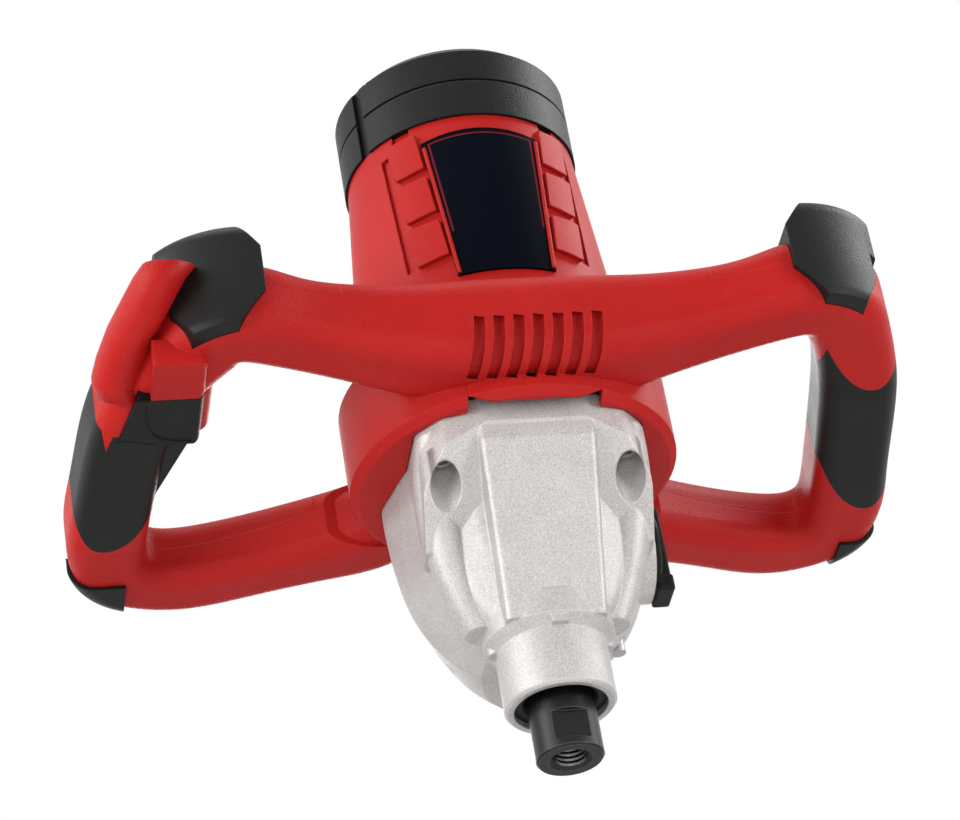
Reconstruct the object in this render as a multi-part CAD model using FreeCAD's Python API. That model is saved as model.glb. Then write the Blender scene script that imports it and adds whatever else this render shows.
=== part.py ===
import FreeCAD, Part
import math
import os

# Mixing drill, in millimetres. The origin is the centre of the spindle's end face.
# +Z runs up the spindle and the motor, -Y is the front with the label panel, +X the viewer's right.

# Clearances
run_gap = 0.05
pass_gap = 0.5
seat_gap = 0.3
cut_over = 1.0

# Spindle with its tool thread
spindle_r = 13.0
spindle_flats = 22.0
flat_low = 3.5
flat_height = 12.0
thread_r = 5.92
thread_depth = 26.0
thread_mouth_r = 8.5
thread_mouth_depth = 2.0
stickout = 22.0
journal_r = 12.5
gear_seat_r = 11.0
spindle_top_r = 9.0
spindle_edge = 0.8
spline_width = 4.0
spline_height = 1.6
spline_clear = 0.15

# Collar neck of the gearbox, with its seal and bearings
neck_r = 21.5
neck_height = 32.0
neck_edge = 1.2
neck_shoulder = 4.0
neck_bore_r = 18.0
seal_recess = 2.6
seal_height = 6.0
neck_bearing_height = 8.0
neck_bearing_step = 9.0
bearing_ring_wall = 1.6
shield_recess = 0.6

# Gearbox casting
gearbox_low = 50.0
gearbox_top = 134.0
gearbox_half_width = 52.0
case_front = 31.0
gearbox_rear = 60.0
gearbox_wall = 5.0
gearbox_floor = 10.0
plate_ledge = 1.5
gearbox_level_shares = [
    (0.0, 0.46, 0.52, 0.86),
    (0.10, 0.63, 0.56, 0.93),
    (0.27, 0.82, 0.66, 0.97),
    (0.52, 0.95, 0.82, 0.99),
    (0.82, 1.0, 0.95, 1.0),
    (1.0, 1.0, 1.0, 1.0),
]
gearbox_outline_shares = [(0.45, -1.0), (0.76, -0.66), (0.88, 0.0), (1.0, 0.45), (0.76, 0.82), (0.36, 1.0)]
gearbox_corner_share = 0.28
gearbox_front = 44.5
wedge_top_half = 23.5
wedge_low_half = 19.5
wedge_brow = 43.5
wedge_brow_z = 116.0
wedge_corner = 2.5
saddle_half = 44.5
saddle_low = 84.0
saddle_shares = [(1.0, 0.0), (1.0, -0.66), (0.80, -0.89), (0.44, -1.0)]
saddle_corner = 6.0
pad_apex_y = 41.0
pad_apex_z = 118.5
pad_angle = 53.0
pillar_top_r = 9.0
pillar_top_z = 126.0
pillar_mid_r = 9.0
pillar_low_r = 7.0
pillar_mid_z = 92.0
pillar_low_z = 55.0
pillar_mid_back = 13.0
pillar_low_x = 25.0
pillar_low_y = 1.0
rear_boss_r = 20.0
rear_boss_low = 53.0
boss_bevel = 2.0
front_rib_width = 6.5
front_rib_depth = 3.0
front_rib_top = 66.0
front_rib_low = 46.0
neck_nub_r = 3.0
neck_nub_height = 4.0

# Screws that hold the gearbox under the frame
gearbox_screw_x = 36.0
gearbox_screw_front = 30.0
gearbox_screw_rear = 38.0
gearbox_boss_r = 9.0
gearbox_counterbore_r = 6.0
gearbox_screw_seat = 119.0
gearbox_screw_r = 2.4
gearbox_screw_head_r = 4.2
gearbox_screw_head = 4.0
gearbox_screw_length = 37.0
socket_share = 0.55

# Axes of the gear train: the spindle's axis is x = y = 0
motor_y = 9.0
layshaft_y = 34.0

# Gears: teeth, face widths and heights
pinion_teeth = 11
wheel_teeth = 36
low_pinion_teeth = 13
low_wheel_teeth = 41
high_pinion_teeth = 21
high_wheel_teeth = 33
gear_face = 9.0
pinion_overhang = 1.0
first_stage_z = 139.0
sleeve_mid_z = 96.0
pressure_angle = 20.0
tooth_thin_share = 0.84
addendum_share = 0.85
dedendum_share = 1.2
flank_points = 5

# Dog sleeve between the two spindle wheels, with its fork
sleeve_height = 6.0
sleeve_r = 20.0
dog_count = 6
dog_inner_r = 13.0
dog_outer_r = 17.0
dog_share = 0.42
pocket_share = 0.58
dog_height = 4.0
dog_reach = 3.0
shift_travel = 3.6
groove_width = 3.0
groove_depth = 2.5
fork_thick = 2.2
fork_r = 23.5
fork_rail_r = 3.0
fork_rail_x = 31.0
fork_rail_y = 20.0
fork_hub_r = 5.5
fork_hub_height = 12.0
fork_arm_width = 8.0
fork_block = 8.0
fork_block_thick = 5.0

# Gear selector on the viewer's right
selector_y = 14.0
selector_boss_r = 19.0
selector_boss_face = 47.5
selector_shaft_r = 4.0
selector_collar_thick = 2.0
eccentric = 6.5
eccentric_pin_r = 1.8
crank_edge = 0.6
knob_disc_r = 17.5
knob_sweep_r = 21.5
knob_disc_thick = 2.5
knob_wing_height = 39.0
knob_wing_thick = 9.0
knob_wing_reach = 4.7
knob_foot_height = 7.0
knob_foot_thick = 15.0
knob_edge = 1.2

# Spindle's upper bearing plate and the layshaft
plate_low = 115.0
plate_thick = 10.0
spindle_top_bearing_r = 14.0
bearing_height = 8.0
layshaft_r = 5.0
layshaft_end_r = 4.0
lay_bearing_r = 9.0
lay_bearing_height = 7.0
lay_bearing_floor = 3.0

# Gear cover under the motor
cover_plate = 4.0
cover_plate_r = 50.0
dome_wall = 3.0
dome_roof = 6.0
armature_bearing_r = 13.0

# Armature
armature_r = 6.0
fan_r = 41.0
fan_low = 166.0
fan_disc = 2.5
fan_blade_height = 9.0
fan_blade_thick = 1.8
fan_blades = 11
fan_hub_r = 12.0
core_r = 24.0
core_low = 198.0
core_height = 42.0
core_slots = 12
core_slot_width = 3.0
core_slot_depth = 8.0
winding_r = 21.0
winding_height = 8.0
commutator_r = 13.0
commutator_low = 251.0
commutator_height = 12.0
commutator_bars = 16
commutator_slot = 0.8
commutator_slot_depth = 1.2
top_bearing_r = 12.0
top_bearing_height = 7.0
top_bearing_low = 265.0

# Stator, field coils and brushes
stator_r = 42.0
air_gap = 1.0
coil_inner_r = 28.0
coil_outer_r = 37.0
coil_turn = 6.0
coil_arc = 150.0
coil_window = 104.0
brush_width = 6.0
brush_height = 8.0
brush_length = 15.0
brush_gap = 0.1
brush_tube_wall = 1.2
brush_tube_end = 38.0

# Motor barrel
barrel_low = 184.0
barrel_top = 275.0
barrel_low_r = 54.5
barrel_top_r = 47.0
barrel_wall = 3.0
stator_rib_width = 7.0
stator_ribs = 4
spider_ring_r = 14.0
spider_arm = 6.0
barrel_post_r = 4.6
barrel_post_height = 11.0
barrel_post_place_r = 47.5
barrel_screw_r = 2.0
barrel_screw_head_r = 3.6
barrel_screw_head = 2.6
barrel_screw_length = 12.0
louvre_angle = 39.5
louvre_width = 13.5
louvre_height = 19.0
louvre_proud = 2.2
louvre_step = 23.5
louvre_low = 203.0
louvre_count = 3
band_angle = 50.0
band_lean = 7.0
band_width = 6.0
band_depth = 1.6
notch_width = 8.0
notch_height = 9.0

# Label panel on the barrel's front
panel_low = 193.0
panel_top = 264.0
panel_low_half = 19.5
panel_top_half = 23.5
panel_thick = 1.3
panel_glue = 0.1
panel_arch = 3.0

# Motor cap in two tiers
cap_r = 48.2
cap_tier = 18.0
cap_height = 37.5
cap_seam = 1.0
cap_bevel = 5.0
cap_wall = 3.0
cap_slot_angle = -62.0
cap_slot_width = 5.0
cap_slot_depth = 2.0
cap_vents = 24
cap_vent_width = 3.0
cap_vent_length = 15.0
cap_vent_place_r = 26.0
cap_screws = 3
cap_screw_place_r = 40.5
cap_screw_r = 2.0
cap_screw_grip = 8.0
cap_post_depth = 11.0
cap_screw_head_r = 3.8
cap_screw_head = 2.5
cap_post_r = 5.0

# Frame: the round skirt over the gearbox, and the handle loops
skirt_r = 65.0
skirt_low = 128.0
skirt_shoulder = 166.0
skirt_wall = 3.2
skirt_edge = 3.0
skirt_collar = 5.0
frame_post_r = 7.0
frame_post_top = 160.0
frame_rib = 4.0
loop_half_span = 153.0
loop_front = 66.0
loop_depth = 156.0
loop_rear_z = 146.0
loop_rise = 19.0
loop_half_thick = 17.0
loop_wall = 3.2
loop_corner_share = 0.62
loop_lean = 4.0
loop_station_shares = [
    (0.0, 0.103, 0.53, 1.24, 1.18, 0.0),
    (0.183, 0.103, 0.53, 1.22, 1.18, 0.0),
    (0.327, 0.09, 0.63, 1.06, 1.04, 0.0),
    (0.480, 0.064, 0.74, 0.93, 0.90, 0.0),
    (0.610, 0.032, 0.84, 0.90, 0.88, 0.0),
    (0.715, 0.010, 0.95, 0.92, 0.95, 0.0),
    (0.80, 0.052, 1.0, 0.94, 1.0, -0.2),
    (0.87, 0.160, 0.95, 0.93, 1.0, 0.2),
    (0.932, 0.308, 0.79, 0.93, 1.0, 0.8),
    (0.967, 0.487, 0.605, 0.93, 1.0, 1.0),
    (0.99, 0.692, 0.34, 0.92, 1.0, 1.0),
    (1.0, 0.833, 0.18, 0.93, 0.95, 0.9),
    (0.967, 0.949, 0.10, 0.92, 0.86, 0.7),
    (0.85, 1.0, 0.05, 0.88, 0.84, 0.4),
    (0.68, 0.968, 0.04, 0.86, 0.85, 0.2),
    (0.484, 0.897, 0.03, 0.88, 0.88, 0.0),
    (0.30, 0.808, 0.0, 0.92, 0.92, 0.0),
    (0.222, 0.744, 0.0, 0.92, 0.92, 0.0),
]
far_share = 4.0
cover_start = 72.0

# Vents in the front bridge
vent_count = 7
vent_step = 7.6
vent_width = 4.4
vent_length = 24.0
vent_reach = 14.0
vent_depth = 2.4
vent_tilt = 42.0
vent_slant = 8.0
exhaust_half = 26.0
exhaust_front = 50.5
exhaust_top = 141.0

# Rubber on the loops
grip_thick = 2.0
grip_front = -15.0
grip_rear = 55.0
tongue_inner = 2.0
tongue_outer = 12.0
tongue_tip = 8.0
tongue_length = 9.0
tongue_station = 9
tongue_forward = 12.0
bumper_proud = 2.6
bumper_lift = 12.0
bumper_corner_share = 0.4
bumper_first_station = 3
bumper_last_station = 9
bumper_inner = 102.0
bumper_shoulder = 17.0
bumper_shoulder_z = 182.0
bumper_top = 205.0
bumper_kink_z = 163.0
bumper_tip_inner = 113.0
bumper_tip_outer = 130.0
bumper_tip_z = 149.0
bumper_outer = 137.0
bumper_outer_z = 162.0
bumper_shield_back = -55.0
bumper_wrap_inner = 140.0
bumper_back = -76.0
bumper_wrap_lift = 9.0
foot_proud = 1.6
foot_first_station = 10
foot_last_station = 14
foot_inner = 149.0
foot_front = 78.0

# Hood of the frame under the trigger, on the viewer's left
hood_inner = 124.0
hood_front = -63.0
hood_rear = -40.0
hood_low = 143.0
hood_top = 155.0
hood_edge = 3.0
guard_rear = -9.0
guard_outer = 149.0
guard_flare = 8.0
swell_inner = 139.5
swell_rear = 34.0

# Screws that hold the handle covers
cover_post_r = 4.5
cover_screw_r = 1.9
cover_screw_head_r = 3.4
cover_screw_head = 2.4
cover_screw_sink = 3.0
cover_screw_length = 22.0
cover_screw_stations = [4, 11, 14]

# Switch, trigger and lock button in the loop on the viewer's left
switch_station = 8
trigger_y = -14.0
trigger_length = 32.0
trigger_height = 18.0
trigger_rise = 4.0
trigger_reach = 11.0
trigger_depth = 18.0
trigger_press = 5.0
trigger_nose = 5.0
switch_length = 26.0
switch_width = 7.0
switch_height = 13.0
lock_station = 7
lock_place_share = 0.15
lock_r = 5.0
lock_proud = 3.0
lock_stem = 12.0

# Cable inlet at the rear of the loop on the viewer's left
inlet_station = 13
inlet_r = 8.5
inlet_bore_r = 4.2
inlet_proud = 8.0
inlet_lift = 4.0

UP = FreeCAD.Vector(0, 0, 1)
RIGHT = FreeCAD.Vector(1, 0, 0)
AHEAD = FreeCAD.Vector(0, 1, 0)
far = far_share * loop_half_span


def at(x, y, z):
    return FreeCAD.Vector(x, y, z)


def cyl(r, z0, z1, x=0, y=0):
    return Part.makeCylinder(r, z1 - z0, at(x, y, z0))


def ring(outer_r, inner_r, z0, z1, x=0, y=0):
    return cyl(outer_r, z0, z1, x, y).cut(cyl(inner_r, z0 - cut_over, z1 + cut_over, x, y))


def block(x0, x1, y0, y1, z0, z1):
    return Part.makeBox(x1 - x0, y1 - y0, z1 - z0, at(x0, y0, z0))


def rod_x(r, x0, x1, y, z):
    return Part.makeCylinder(r, x1 - x0, at(x0, y, z), RIGHT)


def turned(profile, x=0, y=0):
    points = [at(x + r, y, z) for r, z in profile]
    face = Part.Face(Part.makePolygon(points + points[:1]))
    return face.revolve(at(x, y, 0), UP, 360)


def prism(points, z0, z1):
    wire = Part.makePolygon([at(x, y, z0) for x, y in points + points[:1]])
    return Part.Face(wire).extrude(at(0, 0, z1 - z0))


def joined(shapes):
    whole = shapes[0]
    for shape in shapes[1:]:
        whole = whole.fuse(shape)
    return whole


def fused(shapes):
    return joined(shapes).removeSplitter()


def mirrored(shape):
    return shape.mirror(at(0, 0, 0), RIGHT)


def spun(shape, degrees, x=0, y=0):
    copy = shape.copy()
    copy.rotate(at(x, y, 0), UP, degrees)
    return copy


def layer(z0, z1):
    """Everything between two heights."""
    return block(-far, far, -far, far, z0, z1)


def bevelled_cyl(r, z0, z1, edge, x=0, y=0):
    return turned([(0, z0), (r - edge, z0), (r, z0 + edge), (r, z1 - edge), (r - edge, z1), (0, z1)], x, y)


# Gear train


def train_module(teeth_a, teeth_b, distance):
    return 2 * distance / (teeth_a + teeth_b)


first_module = train_module(pinion_teeth, wheel_teeth, layshaft_y - motor_y)
second_module = train_module(low_pinion_teeth, low_wheel_teeth, layshaft_y)


def flank_half_angle(radius, pitch_r, teeth):
    base_r = pitch_r * math.cos(math.radians(pressure_angle))
    roll = math.acos(min(1.0, base_r / radius))
    press = math.radians(pressure_angle)
    involute = (math.tan(press) - press) - (math.tan(roll) - roll)
    return tooth_thin_share * math.pi / (2 * teeth) + involute


def gear(teeth, module, z0, z1, axis_y, phase):
    """One spur gear with a tooth centred on the angle phase, in degrees from +X."""
    pitch_r = module * teeth / 2
    tip_r = pitch_r + addendum_share * module
    root_r = pitch_r - dedendum_share * module
    low_r = max(root_r, pitch_r * math.cos(math.radians(pressure_angle)))
    radii = [low_r + (tip_r - low_r) * i / (flank_points - 1) for i in range(flank_points)]
    side = [(r, flank_half_angle(r, pitch_r, teeth)) for r in radii]
    if root_r < low_r:
        side.insert(0, (root_r, side[0][1]))
    points = []
    for tooth in range(teeth):
        middle = math.radians(phase) + 2 * math.pi * tooth / teeth
        turns = [(r, middle - a) for r, a in side] + [(r, middle + a) for r, a in reversed(side)]
        points += [(r * math.cos(t), axis_y + r * math.sin(t)) for r, t in turns]
    return prism(points, z0, z1)


def tip_radius(teeth, module):
    return module * (teeth / 2 + addendum_share)


low_wheel_z = sleeve_mid_z + sleeve_height / 2 + dog_height - dog_reach
high_wheel_top = sleeve_mid_z - sleeve_height / 2 - dog_height - shift_travel - pass_gap
high_wheel_z = high_wheel_top - gear_face


def dogs(z0, z1, share, clearance):
    inner = dog_inner_r - clearance
    outer = dog_outer_r + clearance
    arc = 360 * share / dog_count
    one = Part.makeCylinder(outer, z1 - z0, at(0, 0, z0), UP, arc)
    one = one.cut(Part.makeCylinder(inner, z1 - z0, at(0, 0, z0), UP, arc))
    one.rotate(at(0, 0, 0), UP, -arc / 2)
    return [spun(one, 360 * i / dog_count) for i in range(dog_count)]


def wheel_blank(teeth, z0, bore_r, phase):
    wheel = gear(teeth, second_module, z0, z0 + gear_face, 0, phase)
    return wheel.cut(cyl(bore_r, z0 - cut_over, z0 + gear_face + cut_over))


def low_wheel():
    gap_phase = 90 + 180 / low_wheel_teeth
    wheel = wheel_blank(low_wheel_teeth, low_wheel_z, gear_seat_r, gap_phase)
    return wheel.cut(Part.makeCompound(dogs(low_wheel_z, low_wheel_z + dog_height, pocket_share, seat_gap)))


def high_wheel():
    gap_phase = 90 + 180 / high_wheel_teeth
    wheel = wheel_blank(high_wheel_teeth, high_wheel_z, gear_seat_r + run_gap, gap_phase)
    low = high_wheel_top - dog_height
    return wheel.cut(Part.makeCompound(dogs(low, high_wheel_top, pocket_share, seat_gap)))


def dog_sleeve():
    low = sleeve_mid_z - sleeve_height / 2
    top = sleeve_mid_z + sleeve_height / 2
    body = cyl(sleeve_r, low, top)
    groove = ring(sleeve_r + cut_over, sleeve_r - groove_depth,
                  sleeve_mid_z - groove_width / 2, sleeve_mid_z + groove_width / 2)
    body = fused([body.cut(groove)] + dogs(top, top + dog_height, dog_share, 0)
                 + dogs(low - dog_height, low, dog_share, 0))
    body = body.cut(cyl(gear_seat_r + run_gap, low - dog_height - cut_over, top + dog_height + cut_over))
    return body.cut(spline_keys(spline_clear))


def spline_keys(clearance):
    half = spline_width / 2 + clearance
    reach = gear_seat_r + spline_height + clearance
    low = high_wheel_top + pass_gap - clearance
    top = low_wheel_z - pass_gap + clearance
    return block(-reach, reach, -half, half, low, top)


def spindle():
    neck_top = stickout + neck_height
    seat_top = plate_low - pass_gap
    shaft = turned([
        (0, 0), (spindle_r - spindle_edge, 0), (spindle_r, spindle_edge),
        (spindle_r, stickout - spindle_edge),
        (journal_r, stickout), (journal_r, neck_top), (gear_seat_r, neck_top + spindle_edge),
        (gear_seat_r, seat_top), (spindle_top_r, seat_top), (spindle_top_r, plate_low + bearing_height),
        (0, plate_low + bearing_height)])
    shaft = shaft.fuse(spline_keys(0))
    bore = turned([(0, -cut_over), (thread_mouth_r, -cut_over), (thread_mouth_r, 0),
                   (thread_r, thread_mouth_depth), (thread_r, thread_depth),
                   (0, thread_depth + thread_r / 2)])
    for side in (-1, 1):
        edge = side * spindle_flats / 2
        outer = side * (spindle_r + cut_over)
        shaft = shaft.cut(block(-spindle_r, spindle_r, min(edge, outer), max(edge, outer),
                                flat_low, flat_low + flat_height))
    return shaft.cut(bore)


def gear_key_ring():
    """Retaining ring under the high wheel, in a groove-less seat on the spindle."""
    return ring(gear_seat_r + spline_height, gear_seat_r,
                high_wheel_z - pass_gap - spline_height, high_wheel_z - pass_gap)


def layshaft():
    low = lay_bearing_z
    high = cover_roof_z
    return turned([
        (0, low), (layshaft_end_r, low), (layshaft_end_r, low + lay_bearing_height),
        (layshaft_r, low + lay_bearing_height), (layshaft_r, high - lay_bearing_height),
        (layshaft_end_r, high - lay_bearing_height), (layshaft_end_r, high), (0, high)], 0, layshaft_y)


def layshaft_gear(teeth, module, z0, z1, phase):
    body = gear(teeth, module, z0, z1, layshaft_y, phase)
    return body.cut(cyl(layshaft_r, z0 - cut_over, z1 + cut_over, 0, layshaft_y))


def low_pinion():
    return layshaft_gear(low_pinion_teeth, second_module, low_wheel_z - pinion_overhang,
                         low_wheel_z + gear_face + pinion_overhang, -90)


def high_pinion():
    return layshaft_gear(high_pinion_teeth, second_module, high_wheel_z - pinion_overhang,
                         high_wheel_top + pinion_overhang, -90)


def layshaft_wheel():
    gap_phase = 180 / wheel_teeth - 90
    return layshaft_gear(wheel_teeth, first_module, first_stage_z, first_stage_z + gear_face, gap_phase)


# Gearbox casting and what sits in it

lay_bearing_z = rear_boss_low + lay_bearing_floor
neck_top = stickout + neck_height
cover_dome_z = gearbox_top + cover_plate
cover_roof_z = first_stage_z + gear_face + pass_gap + lay_bearing_height


def rounded_wire(points, corner_r, z):
    """A closed outline of straight runs and arcs through the corners of points."""
    edges = []
    count = len(points)
    ends = []
    for i in range(count):
        here = at(points[i][0], points[i][1], z)
        back = at(points[i - 1][0], points[i - 1][1], z) - here
        ahead = at(points[(i + 1) % count][0], points[(i + 1) % count][1], z) - here
        back.normalize()
        ahead.normalize()
        half = back.getAngle(ahead) / 2
        run = corner_r / math.tan(half)
        inward = back + ahead
        inward.normalize()
        middle = here + inward * (corner_r / math.sin(half) - corner_r)
        ends.append((here + back * run, middle, here + ahead * run))
    for i in range(count):
        start, middle, end = ends[i]
        edges.append(Part.Arc(start, middle, end).toShape())
        edges.append(Part.makeLine(end, ends[(i + 1) % count][0]))
    return Part.Wire(edges)


def gearbox_wire(level, wall):
    height_share, width_share, front_share, rear_share = level
    half = gearbox_half_width * width_share - wall
    front = case_front * front_share - wall
    rear = gearbox_rear * rear_share - wall
    right = [(half * x, y * (front if y < 0 else rear)) for x, y in gearbox_outline_shares]
    left = [(-x, y) for x, y in reversed(right)]
    z = gearbox_low + (gearbox_top - gearbox_low) * height_share
    return rounded_wire(right + left, gearbox_corner_share * half, z)


def gearbox_form(wall):
    return Part.makeLoft([gearbox_wire(level, wall) for level in gearbox_level_shares], True, False)


def wedge_form(wall):
    """Front panel of the casting, which leans back from the top edge to the neck."""
    sections = []
    brow_share = (wedge_brow_z - gearbox_low) / (gearbox_top - gearbox_low)
    brow_half = wedge_low_half + (wedge_top_half - wedge_low_half) * brow_share
    levels = [(gearbox_low, wedge_low_half, neck_r), (wedge_brow_z, brow_half, wedge_brow),
              (gearbox_top, wedge_top_half, gearbox_front)]
    for z, outer_half, front in levels:
        half = outer_half - wall
        points = [(half, 0), (-half, 0), (-half, wall - front), (half, wall - front)]
        sections.append(rounded_wire(points, wedge_corner, z))
    return Part.makeLoft(sections, True, True)


def saddle_outline(margin):
    right = [(x * (saddle_half + margin), y * (gearbox_front + margin)) for x, y in saddle_shares]
    return right + [(-x, y) for x, y in reversed(right)]


def saddle_form():
    """Upper front of the casting with the two slanted screw pads."""
    wire = rounded_wire(saddle_outline(0), saddle_corner, saddle_low)
    body = Part.Face(wire).extrude(at(0, 0, gearbox_top - saddle_low))
    above = block(-far, far, -far, far, 0, far)
    above.rotate(at(0, 0, 0), RIGHT, -pad_angle)
    above.translate(at(0, -pad_apex_y, pad_apex_z))
    return body.common(above)


def pillar_form(side):
    top_y = pillar_top_r - gearbox_counterbore_r - gearbox_screw_front
    places = [(gearbox_screw_x, top_y, pillar_top_z, pillar_top_r),
              (gearbox_screw_x, -pillar_mid_back, pillar_mid_z, pillar_mid_r),
              (pillar_low_x, -pillar_low_y, pillar_low_z, pillar_low_r)]
    wires = [Part.Wire(Part.makeCircle(r, at(side * x, y, z), UP)) for x, y, z, r in places]
    return Part.makeLoft(wires, True, False)


def gearbox_screw_places():
    rows = (-gearbox_screw_front, gearbox_screw_rear)
    return [(side * gearbox_screw_x, y) for side in (-1, 1) for y in rows]


def gearbox_cavity():
    low = gearbox_form(gearbox_wall).common(layer(gearbox_low + gearbox_floor, plate_low))
    high = gearbox_form(gearbox_wall - plate_ledge).common(layer(plate_low, gearbox_top + cut_over))
    wedge = wedge_form(gearbox_wall).common(layer(gearbox_low + gearbox_floor, gearbox_top + cut_over))
    cavity = low.fuse([high, wedge])
    for x, y in gearbox_screw_places():
        cavity = cavity.cut(cyl(gearbox_boss_r, gearbox_low, gearbox_top + cut_over, x, y))
    return cavity


def fork_rail():
    return cyl(fork_rail_r, gearbox_low + gearbox_floor / 2, plate_low, fork_rail_x, fork_rail_y)


def gearbox_outside():
    shoulder_z = gearbox_low - neck_shoulder
    shoulder_r = neck_r + neck_shoulder
    inside_z = gearbox_low + gearbox_floor
    shapes = [gearbox_form(0), cyl(neck_r, stickout, gearbox_low + gearbox_floor)]
    shapes.append(turned([(0, shoulder_z), (neck_r, shoulder_z), (shoulder_r, gearbox_low),
                          (shoulder_r, inside_z), (0, inside_z)]))
    shapes.append(bevelled_cyl(rear_boss_r, rear_boss_low, plate_low, boss_bevel, 0, layshaft_y))
    shapes += [wedge_form(0), saddle_form(), pillar_form(-1), pillar_form(1)]
    shapes.append(rod_x(selector_boss_r, 0, selector_boss_face, selector_y, selector_z))
    shapes.append(block(-front_rib_width / 2, front_rib_width / 2, -neck_r - front_rib_depth, 0,
                        front_rib_low, front_rib_top))
    nub_low = gearbox_low - neck_nub_height
    nub_top = gearbox_low + neck_nub_height
    shapes += [cyl(neck_nub_r, nub_low, nub_top, side * neck_r, 0) for side in (-1, 1)]
    return fused(shapes)


def gearbox_housing():
    body = gearbox_outside()
    edge = turned([(neck_r - neck_edge, stickout), (neck_r + cut_over, stickout - cut_over),
                   (neck_r + cut_over, stickout + neck_edge + cut_over)])
    bore = cyl(neck_bore_r, stickout - cut_over, bearing_stack_top)
    throat = cyl(journal_r + pass_gap, stickout, gearbox_low + gearbox_floor + cut_over)
    pocket = cyl(lay_bearing_r, lay_bearing_z, gearbox_low + gearbox_floor + cut_over, 0, layshaft_y)
    shaft_hole = rod_x(selector_shaft_r + run_gap, 0, selector_boss_face + cut_over, selector_y, selector_z)
    spot_face = rod_x(knob_sweep_r, selector_boss_face, far, selector_y, selector_z)
    crank_room = rod_x(crank_r + pass_gap, 0, crank_face + seat_gap, selector_y, selector_z)
    cuts = [edge, bore, throat, pocket, gearbox_cavity(), shaft_hole, spot_face, crank_room, fork_rail()]
    for x, y in gearbox_screw_places():
        cuts.append(cyl(gearbox_counterbore_r, gearbox_low - neck_height, gearbox_screw_seat, x, y))
        cuts.append(cyl(gearbox_screw_r, gearbox_screw_seat, gearbox_top + cut_over, x, y))
    return body.cut(cuts).removeSplitter()


seal_z = stickout + seal_recess
neck_bearing_z = seal_z + seal_height
bearing_stack_top = neck_bearing_z + neck_bearing_step + neck_bearing_height
selector_z = sleeve_mid_z - shift_travel / 2
crank_r = eccentric + eccentric_pin_r + crank_edge
crank_x = fork_rail_x + fork_hub_r + pass_gap
crank_face = crank_x + selector_collar_thick


def shaft_seal():
    lip = seal_height / 3
    return turned([
        (neck_bore_r, seal_z), (neck_bore_r, seal_z + seal_height), (journal_r + lip, seal_z + seal_height),
        (journal_r + run_gap, seal_z + seal_height - lip), (journal_r + run_gap, seal_z + lip),
        (journal_r + lip, seal_z)])


def sealed_bearing(outer_r, inner_r, z0, height, y):
    """Outer ring, inner ring and the shield between them, which hides the balls."""
    top = z0 + height
    shield_r = outer_r - bearing_ring_wall
    return Part.makeCompound([
        ring(outer_r, shield_r, z0, top, 0, y),
        ring(shield_r, inner_r + bearing_ring_wall + run_gap, z0 + shield_recess, top - shield_recess, 0, y),
        ring(inner_r + bearing_ring_wall, inner_r, z0, top, 0, y)])


def neck_bearings():
    inner = journal_r + run_gap
    return Part.makeCompound([
        sealed_bearing(neck_bore_r, inner, neck_bearing_z + i * neck_bearing_step, neck_bearing_height, 0)
        for i in range(2)])


def bearing_spacer():
    low = neck_bearing_z + neck_bearing_height
    return ring(neck_bore_r, journal_r + pass_gap, low, low + neck_bearing_step - neck_bearing_height)


def spindle_top_bearing():
    return sealed_bearing(spindle_top_bearing_r, spindle_top_r + run_gap, plate_low, bearing_height, 0)


def layshaft_bearings():
    inner = layshaft_end_r + run_gap
    low = sealed_bearing(lay_bearing_r, inner, lay_bearing_z, lay_bearing_height, layshaft_y)
    high_z = cover_roof_z - lay_bearing_height
    high = sealed_bearing(lay_bearing_r, inner, high_z, lay_bearing_height, layshaft_y)
    return Part.makeCompound([low, high])


def bearing_plate():
    top = plate_low + plate_thick
    plate = gearbox_form(gearbox_wall - plate_ledge + seat_gap).common(layer(plate_low, top))
    for x, y in gearbox_screw_places():
        plate = plate.cut(cyl(gearbox_boss_r + seat_gap, plate_low - cut_over, top + cut_over, x, y))
    plate = plate.cut(cyl(spindle_top_bearing_r, plate_low - cut_over, plate_low + bearing_height))
    plate = plate.cut(cyl(spindle_top_r + pass_gap, plate_low, top + cut_over))
    return plate.cut(cyl(layshaft_r + pass_gap, plate_low - cut_over, top + cut_over, 0, layshaft_y))


def gear_cover():
    wheel_r = tip_radius(wheel_teeth, first_module) + pass_gap
    pinion_r = armature_bearing_r
    top = cover_roof_z + dome_roof
    plate = cyl(cover_plate_r, gearbox_top, cover_dome_z, 0, motor_y)
    dome = [cyl(wheel_r + dome_wall, gearbox_top, cover_roof_z, 0, layshaft_y),
            cyl(pinion_r + dome_wall, gearbox_top, cover_roof_z, 0, motor_y)]
    cover = fused([plate] + dome)
    wheel_roof = first_stage_z + gear_face + pass_gap
    hollow = [cyl(wheel_r, gearbox_top - cut_over, wheel_roof, 0, layshaft_y),
              cyl(tip_radius(pinion_teeth, first_module) + pass_gap, gearbox_top - cut_over,
                  wheel_roof + cut_over, 0, motor_y)]
    hollow.append(cyl(lay_bearing_r, wheel_roof - cut_over, top, 0, layshaft_y))
    hollow.append(cyl(armature_bearing_r, cover_roof_z - bearing_height + pass_gap, top, 0, motor_y))
    for x, y in gearbox_screw_places():
        hollow.append(cyl(gearbox_screw_r, gearbox_top - cut_over, cover_dome_z + cut_over, x, y))
    return cover.cut(hollow)


def screw(head_r, head, shank_r, length, x, y, z, up):
    """A socket-head screw whose head's under side lies at z; up is 1 where the shank points up."""
    shank = Part.makeCylinder(shank_r, length, at(x, y, z), UP * up)
    top = Part.makeCylinder(head_r, head, at(x, y, z), UP * -up)
    socket = Part.makeCylinder(head_r * socket_share, head * socket_share, at(x, y, z - up * head), UP * up)
    return shank.fuse(top).cut(socket).removeSplitter()


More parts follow.
